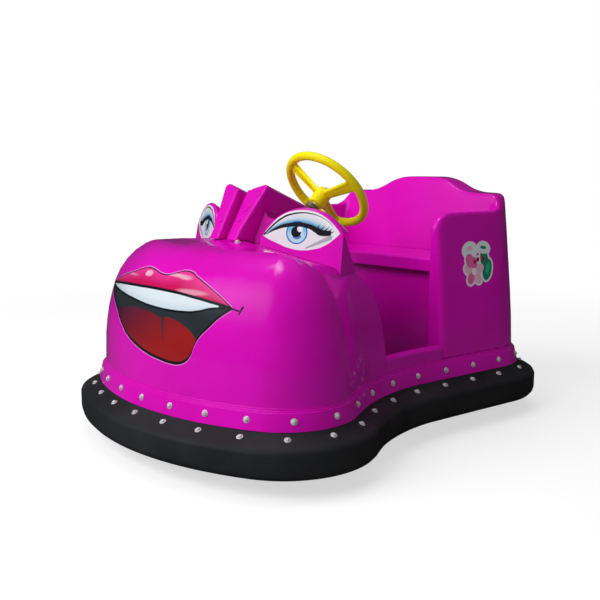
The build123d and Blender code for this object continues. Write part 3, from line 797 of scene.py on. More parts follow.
@dataclass(frozen=True)
class Grained:
    """A plain finish whose colour, roughness and grain vary a little, as on rubber or cast plastic.

    Tone and groove are ends of a range of noise, and haze has a scale, in patches, before them.
    """

    name: str
    color: Color
    worn: Color
    roughness: float
    rough_range: float = 0.12
    metallic: float = 0.0
    grain: float = 900.0
    grain_height: float = 0.0003
    patch: float = 14.0
    coat: float = 0.0
    specular: float = 0.5
    tread: float = 0.0
    tone: Knot = (0.42, 0.72)
    haze: tuple[float, float, float] = (5.0, 0.3, 0.7)
    grain_share: float = 0.35
    groove: Knot = (-0.4, -0.1)
    groove_grain: float = 0.1
    groove_share: float = 0.8
    groove_depth: float = 0.002

    def build(self) -> Material:
        """Builds the finish.

        Returns:
            Its material.
        """
        graph = Graph(self.name)
        graph.put(graph.shader.inputs["Base Color"],
                  graph.mix(graph.span(graph.noise(self.patch, 4.0), *self.tone), self.color, self.worn))
        ratio, low, high = self.haze
        graph.put(graph.shader.inputs["Roughness"],
                  graph.span(graph.noise(self.patch * ratio, 3.0), low, high,
                             self.roughness, self.roughness + self.rough_range))
        graph.shader.inputs["Metallic"].default_value = self.metallic
        graph.shader.inputs["Coat Weight"].default_value = self.coat
        graph.shader.inputs["Specular IOR Level"].default_value = self.specular
        height = graph.noise(self.grain, 2.0)
        if self.tread:
            grooves = graph.math("SINE", graph.times(graph.along(X_AXIS), self.tread))
            height = graph.plus(graph.times(height, self.groove_grain), graph.span(grooves, *self.groove))
            graph.bump(height, self.groove_share, self.groove_depth)
        else:
            graph.bump(height, self.grain_share, self.grain_height)
        return graph.material


FINISHES: dict[Slot, "Gelcoat | Grained"] = {
    Slot.PAINT: Gelcoat(),
    Slot.RUBBER: Grained("black_ring_rubber", (0.017, 0.018, 0.020), (0.026, 0.027, 0.030), 0.46,
                         specular=0.35, patch=5.0),
    Slot.STEEL: Grained("zinc_steel", (0.86, 0.86, 0.87), (0.70, 0.70, 0.70), 0.28, metallic=0.35,
                        grain=300.0, grain_height=0.00005),
    Slot.FRAME: Grained("black_frame_paint", (0.035, 0.035, 0.038), (0.07, 0.065, 0.06), 0.42),
    Slot.FLOOR: Grained("grey_floor_paint", (0.10, 0.10, 0.105), (0.16, 0.155, 0.15), 0.5),
    Slot.BATTERY: Grained("battery_case", (0.05, 0.055, 0.07), (0.08, 0.08, 0.09), 0.55),
    Slot.MOTOR: Grained("motor_enamel", (0.07, 0.08, 0.09), (0.11, 0.11, 0.11), 0.4),
    Slot.YELLOW: Grained("yellow_plastic", (1.0, 0.90, 0.001), (1.0, 0.85, 0.001), 0.34, rough_range=0.05,
                         grain=300.0, grain_height=0.00002, specular=0.3, coat=0.1),
    Slot.TYRE: Grained("tyre_rubber", (0.03, 0.03, 0.03), (0.075, 0.072, 0.068), 0.7, tread=900.0),
    Slot.ALLOY: Grained("cast_alloy", (0.56, 0.57, 0.59), (0.4, 0.4, 0.41), 0.36, metallic=1.0, grain=700.0),
}

SPECIAL: dict[str, "Gelcoat | Grained"] = {
    "column_collar": Grained("worn_collar", (0.20, 0.16, 0.11), (0.46, 0.43, 0.38), 0.34,
                             metallic=0.8, patch=40.0),
    "hood": Gelcoat("magenta_gelcoat_mouth", (MouthPrint(),)),
    "eye_pad_left": Gelcoat("magenta_gelcoat_left_eye", (EyePrint(1),)),
    "eye_pad_right": Gelcoat("magenta_gelcoat_right_eye", (EyePrint(-1),)),
    "seat_shell": Gelcoat("magenta_gelcoat_posy", (PosyPrint(),)),
}


@dataclass
class Shell:
    """The CAD pieces, dressed in their finishes, with their moulded edges rounded."""

    merge: float = 0.00005
    flat: float = math.radians(1.5)
    corner: float = math.radians(32)
    segments: int = 3
    soft: dict[str, tuple[float, int]] = field(default_factory=lambda: {
        "fin_left": (0.0025, 14), "fin_right": (0.0025, 14), "fin_middle": (0.0025, 8),
        "seat_shell": (0.0050, 22)})
    soft_share: float = 0.5
    held: str = "seat_shell"
    held_by: str = "flange_skirt"
    held_within: float = 0.035
    shading_weight: int = 80
    rounding: dict[str, float] = field(default_factory=lambda: {
        "hood": 0.0012, "cowl": 0.006,
        "eye_pad_left": 0.006, "eye_pad_right": 0.006, "seat_pan": 0.003,
        "door_sill_left": 0.003, "door_sill_right": 0.003, "flange_skirt": 0.0012, "pedal": 0.002,
        "drive_carrier": 0.0015, "motor_plate": 0.0015, "drive_fork": 0.0015, "rubber_bumper": 0.003})

    def dress(self, finishes: dict[Slot, Material]) -> None:
        """Gives each CAD node its finish and rounds its edges.

        Args:
            finishes: The material of each slot.
        """
        for part in frame["record"]["subparts"]:
            name = part["node"]
            node = frame["nodes"][name]
            slot = Slot(part["material_slot"])
            node.data.materials.clear()
            node.data.materials.append(SPECIAL[name].build() if name in SPECIAL else finishes[slot])
            node.modifiers.new("weld", "WELD").merge_threshold = self.merge
            if name in self.soft:
                self.soften(node, *self.soft[name])
            elif name in self.rounding:
                self.round_edges(node, self.rounding[name])
            log.info("dressed %s in %s", name, slot.value)

    def hold(self, node: bpy.types.Object, smooth: bpy.types.Modifier) -> None:
        """Keeps the foot of a softened piece on the flange that it stands on.

        Args:
            node: The piece.
            smooth: Its smoothing, which the hold comes before.
        """
        group = node.vertex_groups.new(name="free")
        start = node.modifiers.new("all", "VERTEX_WEIGHT_EDIT")
        start.vertex_group, start.default_weight = group.name, 1.0
        start.use_add, start.add_threshold = True, 0.0
        near = node.modifiers.new("near", "VERTEX_WEIGHT_PROXIMITY")
        near.vertex_group, near.target = group.name, frame["nodes"][self.held_by]
        near.proximity_mode, near.proximity_geometry = "GEOMETRY", {"FACE"}
        near.min_dist, near.max_dist = 0.0, self.held_within
        smooth.vertex_group = group.name
        node.modifiers.move(len(node.modifiers) - 3, len(node.modifiers) - 1)

    def soften(self, node: bpy.types.Object, step: float, passes: int) -> None:
        """Rolls every edge of a moulded piece softly.

        Args:
            node: The piece.
            step: Size of its new faces.
            passes: How often they are smoothed.
        """
        grid = node.modifiers.new("grid", "REMESH")
        grid.mode, grid.voxel_size, grid.use_smooth_shade = "VOXEL", step, True
        smooth = node.modifiers.new("smooth", "SMOOTH")
        smooth.factor, smooth.iterations = self.soft_share, passes
        if node.name == self.held:
            self.hold(node, smooth)

    def round_edges(self, node: bpy.types.Object, width: float) -> None:
        """Rounds the sharp edges of a piece.

        Args:
            node: The piece.
            width: Width of the rounding.
        """
        flats = node.modifiers.new("flats", "DECIMATE")
        flats.decimate_type, flats.angle_limit = "DISSOLVE", self.flat
        rounds = node.modifiers.new("rounds", "BEVEL")
        rounds.limit_method, rounds.angle_limit = "ANGLE", self.corner
        rounds.width, rounds.segments = width, self.segments
        rounds.harden_normals = False
        shading = node.modifiers.new("shading", "WEIGHTED_NORMAL")
        shading.weight, shading.keep_sharp = self.shading_weight, False


class Piece:
    """One new piece on the bench, from its primitive to its place on the car."""

    upright = 0.9

    def __init__(self, name: str) -> None:
        """Takes the primitive that was just added.

        Args:
            name: Name of the piece.
        """
        self.object = bpy.context.active_object
        self.object.name = self.object.data.name = name

    @staticmethod
    def clear() -> None:
        """Leaves nothing selected, before a primitive is added."""
        bpy.ops.object.select_all(action="DESELECT")

    @classmethod
    def block(cls, name: str, size: Point, centre: Point = CENTRE) -> "Piece":
        """Adds a plain block.

        Args:
            name: Name of the piece.
            size: Its length along each axis.
            centre: Its middle.

        Returns:
            The block.
        """
        cls.clear()
        bpy.ops.mesh.primitive_cube_add(size=1.0)
        piece = cls(name)
        piece.object.scale, piece.object.location = size, centre
        bpy.ops.object.transform_apply(location=True, rotation=True, scale=True)
        return piece

    @classmethod
    def disc(cls, name: str, sides: int, radius: float, height: float, level: float = 0.0) -> "Piece":
        """Adds a plain disc or prism that stands along Z.

        Args:
            name: Name of the piece.
            sides: Number of its sides.
            radius: Its radius.
            height: Its height.
            level: Height of its middle.

        Returns:
            The disc.
        """
        cls.clear()
        bpy.ops.mesh.primitive_cylinder_add(vertices=sides, radius=radius, depth=height)
        piece = cls(name)
        piece.place(Matrix.Translation((0.0, 0.0, level)))
        return piece

    def pick(self) -> None:
        """Makes the piece the only one selected."""
        self.clear()
        bpy.context.view_layer.objects.active = self.object
        self.object.select_set(True)

    def edit(self) -> None:
        """Opens the piece in edit mode, with nothing selected."""
        self.pick()
        bpy.ops.object.mode_set(mode="EDIT")
        bpy.ops.mesh.select_all(action="DESELECT")

    def close(self) -> None:
        """Leaves edit mode."""
        bpy.ops.object.mode_set(mode="OBJECT")

    def faces(self, test: Callable[[Vector, Vector], bool]) -> None:
        """Opens the piece with some of its faces selected.

        Args:
            test: Whether a face of this centre and normal is selected.
        """
        self.edit()
        bpy.ops.mesh.select_mode(type="FACE")
        self.close()
        for face in self.object.data.polygons:
            face.select = test(face.center, face.normal)
        bpy.ops.object.mode_set(mode="EDIT")

    def top(self) -> None:
        """Opens the piece with the faces selected that look up."""
        self.faces(lambda _, normal: normal.z > self.upright)

    def corners(self, test: Callable[[Vector], bool]) -> None:
        """Opens the piece with some of its vertices selected.

        Args:
            test: Whether a vertex at this place is selected.
        """
        self.edit()
        bpy.ops.mesh.select_mode(type="VERT")
        self.close()
        for vertex in self.object.data.vertices:
            vertex.select = test(vertex.co)
        bpy.ops.object.mode_set(mode="EDIT")

    def crown(self, steps: Iterable[Knot]) -> None:
        """Raises the selected faces in steps.

        Args:
            steps: Rise and scale of each step.
        """
        for rise, scale in steps:
            bpy.ops.mesh.extrude_region_move(TRANSFORM_OT_translate={"value": (0.0, 0.0, rise)})
            self.scale(scale)

    def scale(self, across: float, along: "float | None" = None) -> None:
        """Scales what is selected about the Z axis.

        Args:
            across: Scale along X, and along Y where there is no second one.
            along: Scale along Y.
        """
        size = (across, across if along is None else along, 1.0)
        bpy.ops.transform.resize(value=size, center_override=CENTRE)

    def bevel(self, width: float, segments: int = 2) -> None:
        """Rounds the sharp edges.

        Args:
            width: Width of the rounding.
            segments: Its steps.
        """
        self.modify("BEVEL", width=width, segments=segments, limit_method="ANGLE")

    def modify(self, kind: str, **settings: object) -> None:
        """Adds a modifier and applies it.

        Args:
            kind: Kind of the modifier.
            settings: Its settings.
        """
        self.pick()
        modifier = self.object.modifiers.new(kind.lower(), kind)
        for key, value in settings.items():
            setattr(modifier, key, value)
        bpy.ops.object.modifier_apply(modifier=modifier.name)

    def place(self, matrix: Matrix) -> None:
        """Moves the mesh itself, so that the object stays at the origin.

        Args:
            matrix: The move.
        """
        self.object.data.transform(matrix)

    def copy(self, name: str, matrix: Matrix) -> "Piece":
        """A copy with its own mesh, moved by a matrix.

        Args:
            name: Name of the copy.
            matrix: Where it goes.

        Returns:
            The copied piece.
        """
        twin = object.__new__(Piece)
        twin.object = self.object.copy()
        twin.object.data = self.object.data.copy()
        twin.object.name = twin.object.data.name = name
        bpy.context.scene.collection.objects.link(twin.object)
        twin.place(matrix)
        return twin

    def discard(self) -> None:
        """Removes the piece once its copies are made."""
        bpy.data.objects.remove(self.object)

    def finish(self, body: Body, slot: Slot, finishes: dict[Slot, Material], angle: float = 35.0) -> None:
        """Settles the piece in place, shades it, dresses it and lets it ride.

        Args:
            body: The body that it rides on.
            slot: Its material slot.
            finishes: The material of each slot.
            angle: Edges sharper than this many degrees stay sharp.
        """
        self.pick()
        bpy.ops.object.transform_apply(location=True, rotation=True, scale=True)
        bpy.ops.object.shade_smooth_by_angle(angle=math.radians(angle))
        self.object.data.materials.clear()
        self.object.data.materials.append(finishes[slot])
        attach(self.object, body.value)
        log.info("made %s", self.object.name)


def aimed(place: Vector, axis: Vector) -> Matrix:
    """Matrix that stands a piece made at the origin at a place.

    Args:
        place: The place.
        axis: Where the piece's +Z looks.

    Returns:
        The matrix.
    """
    return Matrix.Translation(place) @ axis.to_track_quat("Z", "Y").to_matrix().to_4x4()


def ends_of(box: Sequence[Sequence[float]]) -> tuple[Vector, Vector, Vector]:
    """Corners and middle of a box.

    Args:
        box: Its low and its high corner.

    Returns:
        The low corner, the middle and the high corner.
    """
    low, high = (Vector(corner) for corner in box)
    return low, (low + high) / 2, high


@dataclass
class Fasteners:
    """The two rows of domed bolts that hold the rubber ring, and one at the left fin's foot."""

    finishes: dict[Slot, Material]
    pitch: float = 0.120
    shift: float = -0.006
    washer_r: float = 0.0088
    washer_t: float = 0.0016
    head_r: float = 0.0058
    head_h: float = 0.0046
    round_w: float = 0.0005
    dome: tuple[Knot, ...] = ((0.45, 0.97), (0.30, 0.80), (0.17, 0.62), (0.08, 0.45))
    sharp: float = 50.0
    flange_z: float = 0.180
    ring_z: float = 0.1425
    rays: int = 1440
    back_off: float = 0.05
    fin_bolt: tuple[Point, Point] = ((0.069, -0.371, 0.700), Z_AXIS)

    def build(self) -> None:
        """Makes one bolt and sets it round both rows and at the fin's foot."""
        bolt = self.make_bolt()
        start, up = (Vector(part) for part in self.fin_bolt)
        found, place, normal, _ = frame["nodes"]["hood"].ray_cast(start, -up)
        if found:
            self.set_bolt(bolt, "fin_bolt", place, normal)
        for row, node, height in (("flange_bolt", "flange_skirt", self.flange_z),
                                  ("ring_bolt", "rubber_bumper", self.ring_z)):
            for number, (place, normal) in enumerate(self.walk_row(node, height), 1):
                self.set_bolt(bolt, f"{row}_{number:02d}", place, normal)
        bolt.discard()

    def set_bolt(self, bolt: Piece, name: str, place: Vector, normal: Vector) -> None:
        """Sets a copy of the bolt on a face.

        Args:
            bolt: The bolt.
            name: Name of the copy.
            place: Where it stands.
            normal: The face's outward normal.
        """
        bolt.copy(name, aimed(place, normal)).finish(Body.CHASSIS, Slot.STEEL, self.finishes, self.sharp)

    def make_bolt(self) -> Piece:
        """Models a domed bolt on its washer.

        Returns:
            The bolt, at the origin.
        """
        bolt = Piece.disc("bolt", 20, self.washer_r, 2 * self.washer_t)
        bolt.bevel(self.round_w, 1)
        bolt.top()
        bpy.ops.mesh.inset(thickness=self.washer_r - self.head_r - self.round_w)
        bolt.crown((rise * self.head_h, scale) for rise, scale in self.dome)
        bolt.close()
        return bolt

    def walk_row(self, node: str, height: float) -> list[tuple[Vector, Vector]]:
        """Places at even pitch round a node at a height.

        Args:
            node: The CAD node that the row follows.
            height: Height of the row.

        Returns:
            Place and outward normal of each bolt.
        """
        solid = frame["nodes"][node]
        line = []
        for step in range(self.rays + 1):
            turn = 2 * math.pi * step / self.rays
            away = Vector((math.sin(turn), -math.cos(turn), 0.0))
            found, place, _, _ = solid.ray_cast(away + Vector((0.0, 0.0, height)), -away)
            if found:
                line.append(place)
        lengths = [0.0]
        for first, second in zip(line, line[1:]):
            lengths.append(lengths[-1] + (second - first).length)
        count = round(lengths[-1] / self.pitch)
        row = []
        for number in range(count):
            goal = (number * lengths[-1] / count + self.shift) % lengths[-1]
            index = next(i for i, length in enumerate(lengths) if length > goal)
            share = (goal - lengths[index - 1]) / (lengths[index] - lengths[index - 1])
            near = line[index - 1].lerp(line[index], share)
            run = (line[index] - line[index - 1]).normalized()
            out = Vector((run.y, -run.x, 0.0))
            _, place, normal, _ = solid.ray_cast(near + out * self.back_off, -out)
            row.append((place, normal))
        return row


@dataclass
class SteeringWheel:
    """The moulded yellow rim with its finger grips, the webs of its spokes and its nut."""

    finishes: dict[Slot, Material]
    rim_r: float = 0.1365
    grip_r: float = 0.0140
    grip_step: int = 4
    rim_steps: int = 160
    rim_sides: int = 18
    inside: float = 0.0003
    notch: float = 0.0036
    notch_share: float = 0.6
    notch_reach: Knot = (0.008, 0.010)
    spokes: tuple[float, ...] = (-130.0, -10.0, 110.0)
    hub_r: float = 0.022
    hub_depth: float = 0.024
    web_w: float = 0.022
    web_t: float = 0.011
    web_flare: float = 1.5
    web_round: float = 0.0012
    near: float = 0.001
    sharp: float = 60.0
    nut_size: tuple[float, float, float] = (0.0105, 0.008, -0.001)
    nut_face: float = 0.0022
    nut_round: float = 0.0005
    nut_dome: tuple[Knot, ...] = ((0.002, 0.92), (0.0014, 0.75), (0.0007, 0.6))

    def build(self) -> None:
        """Makes the rim, the webs and the nut on the steering axis."""
        joint = next(j for j in frame["record"]["behaviour"]["joints"] if j["name"] == "steering_turn")
        axis = Vector(joint["axis"]).normalized()
        across = Vector(X_AXIS)
        turn = Matrix((across, axis.cross(across), axis)).transposed().to_4x4()
        self.stand = Matrix.Translation(joint["pos_m"]) @ turn
        self.make_rim()
        self.make_webs()
        self.make_nut()

    def make_rim(self) -> None:
        """Torus rim, notched on its inner side for the fingers."""
        Piece.clear()
        bpy.ops.mesh.primitive_torus_add(major_segments=self.rim_steps, minor_segments=self.rim_sides,
                                         major_radius=self.rim_r, minor_radius=self.grip_r - self.inside)
        rim = Piece("steering_rim")
        pitch = 2 * math.pi / self.rim_steps
        depth, height = self.notch_reach

        def notched(place: Vector) -> bool:
            """Finds the vertices of the notches.

            Args:
                place: Place of a vertex.

            Returns:
                Whether it lies in the middle of a notch.
            """
            column = round(math.atan2(place.y, place.x) / pitch)
            return (column % self.grip_step == 0 and abs(place.z) < height
                    and math.hypot(place.x, place.y) < self.rim_r - depth)

        rim.corners(notched)
        rim.scale(1 + self.notch_share * self.notch / self.rim_r)
        rim.close()
        rim.modify("SUBSURF", levels=1, render_levels=1)
        rim.place(self.stand)
        rim.finish(Body.STEERING, Slot.YELLOW, self.finishes, self.sharp)
        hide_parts("wheel_rim")

    def make_webs(self) -> None:
        """Thin web between the two ribs of each spoke."""
        for number, angle in enumerate(self.spokes, 1):
            web = Piece.block(f"spoke_web_{number}", (self.rim_r - self.hub_r, self.web_w, self.web_t),
                              ((self.rim_r + self.hub_r) / 2, 0.0, -self.hub_depth / 2))
            web.corners(lambda place: place.x > self.rim_r - self.near)
            bpy.ops.transform.translate(value=(0.0, 0.0, self.hub_depth / 2))
            web.scale(1.0, self.web_flare)
            web.close()
            web.corners(lambda place: place.x < self.hub_r + self.near)
            bpy.ops.transform.translate(value=(0.0, 0.0, -self.hub_depth / 2))
            web.close()
            web.modify("BEVEL", width=self.web_round, segments=2)
            web.place(self.stand @ Matrix.Rotation(math.radians(angle), 4, "Z"))
            web.finish(Body.STEERING, Slot.YELLOW, self.finishes)

    def make_nut(self) -> None:
        """Domed hexagon nut in the middle of the hub."""
        radius, height, level = self.nut_size
        nut = Piece.disc("wheel_nut", 6, radius, height)
        nut.top()
        bpy.ops.mesh.inset(thickness=self.nut_face)
        nut.crown(self.nut_dome)
        nut.close()
        nut.bevel(self.nut_round)
        nut.place(Matrix.Translation((0.0, 0.0, level)) @ self.stand)
        nut.finish(Body.STEERING, Slot.STEEL, self.finishes)


@dataclass
class FinKnobs:
    """The small moulded knobs down the front strips of the outer fins."""

    finishes: dict[Slot, Material]
    foot: Knot = (0.0080, 0.0024)
    foot_taper: float = 0.82
    dome: tuple[Knot, ...] = ((0.0009, 0.84), (0.0007, 0.76), (0.0004, 0.62), (0.0002, 0.45))
    strip: Point = (0.0, -0.857, 0.515)
    back_off: float = 0.02
    sharp: float = 80.0
    places: dict[str, tuple[Point, ...]] = field(default_factory=lambda: {
        "fin_left": ((0.0746, -0.2957, 0.7125), (0.0531, -0.3165, 0.6779), (0.0439, -0.3228, 0.6675),
                     (0.0363, -0.3393, 0.6400)),
        "fin_right": ((-0.0650, -0.3147, 0.6809), (-0.0434, -0.3415, 0.6364))})

    def build(self) -> None:
        """Models one knob and sets copies of it on the outer fins."""
        knob = Piece.disc("knob", 18, *self.foot)
        knob.top()
        knob.scale(self.foot_taper)
        knob.crown(self.dome)
        knob.close()
        knob.modify("SUBSURF", levels=1, render_levels=1)
        out = Vector(self.strip)
        for node, places in self.places.items():
            for number, place in enumerate(places, 1):
                start = Vector(place) + self.back_off * out
                found, spot, normal, _ = frame["nodes"][node].ray_cast(start, -out)
                if found:
                    knob.copy(f"{node}_knob_{number}", aimed(spot, normal)).finish(
                        Body.CHASSIS, Slot.PAINT, self.finishes, self.sharp)
        knob.discard()


@dataclass
class RunningGear:
    """Nuts, bolts and motor parts of the three wheels, and the pedal's treads.

    Each nut and bolt is given as its radius, height and sunk face.
    """

    finishes: dict[Slot, Material]
    motor_fins: int = 7
    fin_share: float = 0.62
    fin_rise: float = 1.06
    jacket_gap: float = 0.0004
    jacket_from: float = 0.012
    jacket_foot: float = 0.004
    flank: float = 0.0002
    cap: Knot = (0.003, 0.96)
    lead_box: Point = (0.030, 0.024, 0.010)
    lead_box_z: float = 0.0058
    box_round: float = 0.0010
    lid: Knot = (0.0016, 0.0018)
    gland: Knot = (0.006, 0.003)
    pin_nut: tuple[float, float, float] = (0.0125, 0.008, 0.006)
    axle_nut: tuple[float, float, float] = (0.0235, 0.012, 0.0152)
    axle_nut_gap: float = 0.001
    hub_bolt: tuple[float, float, float] = (0.0040, 0.0028, 0.0022)
    hub_bolts: int = 5
    hub_bolt_circle: float = 0.0300
    flat_share: float = 0.866
    sunk: Knot = (-0.0015, 0.97)
    nut_round: float = 0.09
    small_round: float = 0.0005
    pedal_out: Point = (0.0, 0.766, 0.643)
    pedal_up: Point = (0.0, -0.643, 0.766)
    pedal_middle: Knot = (-0.175, 0.196)
    treads: tuple[float, ...] = (-0.014, 0.0, 0.014)
    tread_size: Point = (0.050, 0.0070, 0.0020)
    tread_lid: Knot = (0.0014, 0.0010)
    tread_foot: float = 0.0008
    back_off: float = 0.05

    def build(self) -> None:
        """Makes the motor's parts, the nuts, the hub bolts and the treads."""
        self.make_motor()
        self.make_nuts()
        self.make_hub_bolts()
        self.make_treads()

    def make_motor(self) -> None:
        """Ribbed jacket and end cap of the drive motor, and the box for its leads."""
        low, middle, high = ends_of(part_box("drive_motor"))
        radius = (high.z - low.z) / 2
        step = (high.x - low.x) * self.fin_share / (2 * self.motor_fins)
        jacket = Piece.disc("motor_jacket", 40, radius + self.jacket_gap, self.jacket_foot)
        jacket.top()
        for _ in range(self.motor_fins):
            jacket.crown(((self.flank, self.fin_rise), (step, 1.0),
                          (self.flank, 1 / self.fin_rise), (step, 1.0)))
        jacket.crown((self.cap,))
        jacket.close()
        jacket.bevel(self.small_round)
        start = Vector((low.x + self.jacket_from, middle.y, middle.z))
        jacket.place(aimed(start, Vector(X_AXIS)))
        jacket.finish(Body.FORK, Slot.MOTOR, self.finishes)
        box = Piece.block("motor_lead_box", self.lead_box)
        box.top()
        inset, rise = self.lid
        bpy.ops.mesh.inset(thickness=inset)
        bpy.ops.transform.translate(value=(0.0, 0.0, rise))
        box.close()
        reach, inset = self.gland
        box.faces(lambda centre, normal: normal.x > Piece.upright and abs(centre.z) < reach)
        bpy.ops.mesh.inset(thickness=inset)
        box.close()
        box.bevel(self.box_round)
        box.place(Matrix.Translation((middle.x, middle.y, high.z + self.lead_box_z)))
        box.finish(Body.FORK, Slot.MOTOR, self.finishes)

    def make_nut(self, name: str, radius: float, height: float, bore: float) -> Piece:
        """Hexagon nut with chamfered corners, its foot at the origin.

        Args:
            name: Name of the piece.
            radius: Radius to its corners.
            height: Its height.
            bore: Radius of the face that is sunk into its top.

        Returns:
            The nut.
        """
        nut = Piece.disc(name, 6, radius, height, height / 2)
        nut.top()
        bpy.ops.mesh.inset(thickness=radius * self.flat_share - bore)
        nut.crown((self.sunk,))
        nut.close()
        nut.bevel(height * self.nut_round)
        return nut

    def make_nuts(self) -> None:
        """Nut on the drive pin's free end and on each end of the rear axle."""
        pin = ends_of(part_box("drive_pin"))[1]
        outside = Vector(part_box("drive_fork")[0]).x
        nut = self.make_nut("drive_pin_nut", *self.pin_nut)
        nut.place(aimed(Vector((outside, pin.y, pin.z)), Vector((-1.0, 0.0, 0.0))))
        nut.finish(Body.FORK, Slot.STEEL, self.finishes)
        axle = ends_of(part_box("rear_axle"))[1]
        for side, hub, way in (("left", "rear_hub_left", 1.0), ("right", "rear_hub_right", -1.0)):
            low, _, high = ends_of(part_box(hub))
            face = high.x if way > 0 else low.x
            nut = self.make_nut(f"rear_axle_nut_{side}", *self.axle_nut)
            place = Vector((face + self.axle_nut_gap * way, axle.y, axle.z))
            nut.place(aimed(place, Vector((way, 0.0, 0.0))))
            nut.finish(Body.CHASSIS, Slot.STEEL, self.finishes)

    def make_hub_bolts(self) -> None:
        """Ring of bolts on the outer face of each rear hub."""
        bolt = self.make_nut("hub_bolt", *self.hub_bolt)
        for way, hub, body in ((1.0, "rear_hub_left", Body.REAR_LEFT),
                               (-1.0, "rear_hub_right", Body.REAR_RIGHT)):
            low, middle, high = ends_of(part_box(hub))
            for number in range(self.hub_bolts):
                turn = 2 * math.pi * number / self.hub_bolts
                place = Vector((high.x if way > 0 else low.x,
                                middle.y + self.hub_bolt_circle * math.cos(turn),
                                middle.z + self.hub_bolt_circle * math.sin(turn)))
                bolt.copy(f"{hub}_bolt_{number + 1}", aimed(place, Vector((way, 0.0, 0.0)))).finish(
                    body, Slot.STEEL, self.finishes)
        bolt.discard()

    def make_treads(self) -> None:
        """Rubber strips across the pedal's plate."""
        across, out, up = Vector(X_AXIS), Vector(self.pedal_out), Vector(self.pedal_up)
        middle = Vector((ends_of(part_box("pedal"))[1].x, *self.pedal_middle))
        strip = Piece.block("tread", self.tread_size)
        strip.top()
        inset, rise = self.tread_lid
        bpy.ops.mesh.inset(thickness=inset)
        bpy.ops.mesh.extrude_region_move(TRANSFORM_OT_translate={"value": (0.0, 0.0, rise)})
        strip.close()
        strip.bevel(self.small_round)
        turn = Matrix((across, out.cross(across), out)).transposed().to_4x4()
        for number, shift in enumerate(self.treads, 1):
            start = middle + shift * up + self.back_off * out
            found, spot, _, _ = frame["nodes"]["pedal"].ray_cast(start, -out)
            if found:
                foot = Matrix.Translation(spot + self.tread_foot * out)
                strip.copy(f"pedal_tread_{number}", foot @ turn).finish(
                    Body.CHASSIS, Slot.RUBBER, self.finishes)
        strip.discard()


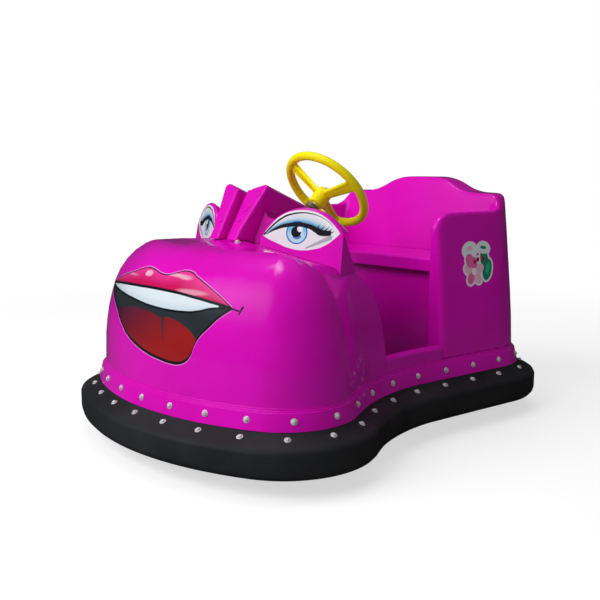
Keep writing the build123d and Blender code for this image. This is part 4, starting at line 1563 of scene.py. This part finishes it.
@dataclass
class Studio:
    """Camera, lamps, floor and backdrop of the photograph."""

    target: Point = (-0.0385, -0.0343, 0.3714)
    distance: float = 2.63
    azimuth: float = 46.76
    elevation: float = 9.12
    lens: float = 50.0
    sensor: float = 36.0
    aim: Point = (0.0, 0.0, 0.35)
    lamps: tuple[tuple[str, Point, Knot, float], ...] = (
        ("key", (-0.9, -4.0, 3.3), (5.0, 3.4), 230.0), ("top", (-0.6, 0.4, 4.4), (4.0, 3.0), 60.0))
    cards: tuple[tuple[str, Point, Knot, float], ...] = (
        ("front_sheen", (-0.9, -4.0, 3.3), (6.5, 4.5), 0.9),
        ("top_sheen", (-0.4, -0.6, 3.6), (2.0, 1.2), 5.0))
    card_spot: tuple[float, float, float] = (0.5, 0.27, 0.22)
    floor_size: float = 60.0
    floor_patch: float = 1.5
    floor_roughness: float = 0.8
    floor_specular: float = 0.1
    floor_color: Color = (0.50, 0.50, 0.503)
    floor_worn: Color = (0.49, 0.49, 0.493)
    floor_mirrored: Color = (0.05, 0.05, 0.05)
    floor_glow: float = 0.62
    fade_from: float = 1.2
    fade_to: float = 3.2
    ambient: float = 0.17
    mirror: float = 0.03

    def build(self) -> None:
        """Adds the camera, the lamps, the world and the floor."""
        self.add_camera()
        for lamp in self.lamps:
            self.add_lamp(*lamp)
        for card in self.cards:
            self.add_card(*card)
        self.add_world()
        self.add_floor()
        bpy.context.scene.view_settings.view_transform = "Standard"

    def add_camera(self) -> None:
        """Adds the camera at the photograph's view."""
        turn, rise = math.radians(self.azimuth), math.radians(self.elevation)
        away = Vector((math.sin(turn) * math.cos(rise), -math.cos(turn) * math.cos(rise), math.sin(rise)))
        data = bpy.data.cameras.new("camera")
        data.lens, data.sensor_width = self.lens, self.sensor
        camera = bpy.data.objects.new("camera", data)
        camera.location = Vector(self.target) + away * self.distance
        camera.rotation_euler = away.to_track_quat("Z", "Y").to_euler()
        bpy.context.scene.collection.objects.link(camera)
        bpy.context.scene.camera = camera

    def add_lamp(self, name: str, place: Point, size: Knot, power: float) -> None:
        """Adds a soft rectangular lamp that faces the car.

        Args:
            name: Name of the lamp.
            place: Its centre.
            size: Width and height of its face.
            power: Power in watts.
        """
        data = bpy.data.lights.new(name, "AREA")
        data.shape = "RECTANGLE"
        data.size, data.size_y = size
        data.energy = power
        lamp = bpy.data.objects.new(name, data)
        lamp.location = place
        lamp.rotation_euler = (Vector(place) - Vector(self.aim)).to_track_quat("Z", "Y").to_euler()
        lamp.visible_glossy = False
        bpy.context.scene.collection.objects.link(lamp)

    def add_card(self, name: str, place: Point, size: Knot, level: float) -> None:
        """Adds a card that only reflections see, brightest in its middle and fading to its edge.

        Args:
            name: Name of the card.
            place: Its centre.
            size: Its width and height.
            level: Brightness of its middle.
        """
        Piece.clear()
        bpy.ops.mesh.primitive_plane_add(size=1.0)
        card = bpy.context.active_object
        card.name = name
        facing = (Vector(place) - Vector(self.aim)).to_track_quat("Z", "Y").to_matrix().to_4x4()
        card.data.transform(Matrix.Translation(place) @ facing @ Matrix.Diagonal((*size, 1.0, 1.0)))
        graph = Graph(name)
        across, up = graph.dot(graph.chart, X_AXIS), graph.dot(graph.chart, Y_AXIS)
        middle, radius, soft = self.card_spot
        spot = graph.blot(across, up, (middle, middle), (radius, radius), soft=soft)
        graph.show(graph.blend(spot, graph.glow(0.0), graph.glow(level)))
        card.data.materials.append(graph.material)
        card.visible_camera = card.visible_diffuse = card.visible_shadow = card.visible_transmission = False

    def add_world(self) -> None:
        """Lights the scene softly and shows white where nothing stands."""
        world = bpy.data.worlds.new("studio")
        world.use_nodes = True
        tree = world.node_tree
        tree.nodes.clear()
        path = tree.nodes.new("ShaderNodeLightPath")
        output = tree.nodes.new("ShaderNodeOutputWorld")
        last = None
        for strength, ray in ((self.ambient, None), (self.mirror, "Is Glossy Ray"),
                              (1.0, "Is Transmission Ray"), (1.0, "Is Camera Ray")):
            light = tree.nodes.new("ShaderNodeBackground")
            light.inputs["Color"].default_value = (1.0, 1.0, 1.0, 1.0)
            light.inputs["Strength"].default_value = strength
            if last is not None:
                share = tree.nodes.new("ShaderNodeMixShader")
                tree.links.new(path.outputs[ray], share.inputs[0])
                tree.links.new(last.outputs[0], share.inputs[1])
                tree.links.new(light.outputs[0], share.inputs[2])
                light = share
            last = light
        tree.links.new(last.outputs[0], output.inputs["Surface"])
        bpy.context.scene.world = world

    def add_floor(self) -> None:
        """Adds the plain pale floor, which fades to white away from the car."""
        Piece.clear()
        bpy.ops.mesh.primitive_plane_add(size=self.floor_size)
        floor = bpy.context.active_object
        floor.name = "floor"
        graph = Graph("floor")
        graph.put(graph.shader.inputs["Base Color"],
                  graph.mix(graph.span(graph.noise(self.floor_patch), 0.0, 1.0),
                            self.floor_color, self.floor_worn))
        graph.shader.inputs["Roughness"].default_value = self.floor_roughness
        graph.shader.inputs["Specular IOR Level"].default_value = self.floor_specular
        path = graph.tree.nodes.new("ShaderNodeLightPath")
        reach = graph.math("SQRT", graph.plus(*(graph.math("POWER", graph.along(axis), 2.0)
                                                for axis in (X_AXIS, Y_AXIS))))
        plain = graph.shader.outputs[0]
        near = graph.tree.nodes.new("ShaderNodeAddShader")
        graph.put(near.inputs[0], plain)
        graph.put(near.inputs[1], graph.glow(self.floor_glow))
        faded = graph.blend(graph.span(reach, self.fade_from, self.fade_to), near.outputs[0], graph.glow(1.0))
        dark = graph.tree.nodes.new("ShaderNodeBsdfDiffuse")
        dark.inputs["Color"].default_value = (*self.floor_mirrored, 1.0)
        mirrored = graph.blend(path.outputs["Is Glossy Ray"], plain, dark.outputs[0])
        graph.show(graph.blend(path.outputs["Is Camera Ray"], mirrored, faded))
        floor.data.materials.append(graph.material)


def main() -> None:
    """Builds the car's dress in order and reports each piece."""
    logging.basicConfig(level=logging.INFO, format="%(name)s: %(message)s")
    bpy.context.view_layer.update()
    finishes = {slot: finish.build() for slot, finish in FINISHES.items()}
    Fasteners(finishes).build()
    SteeringWheel(finishes).build()
    FinKnobs(finishes).build()
    RunningGear(finishes).build()
    Shell().dress(finishes)
    Studio().build()


if __name__ == "__main__":
    main()
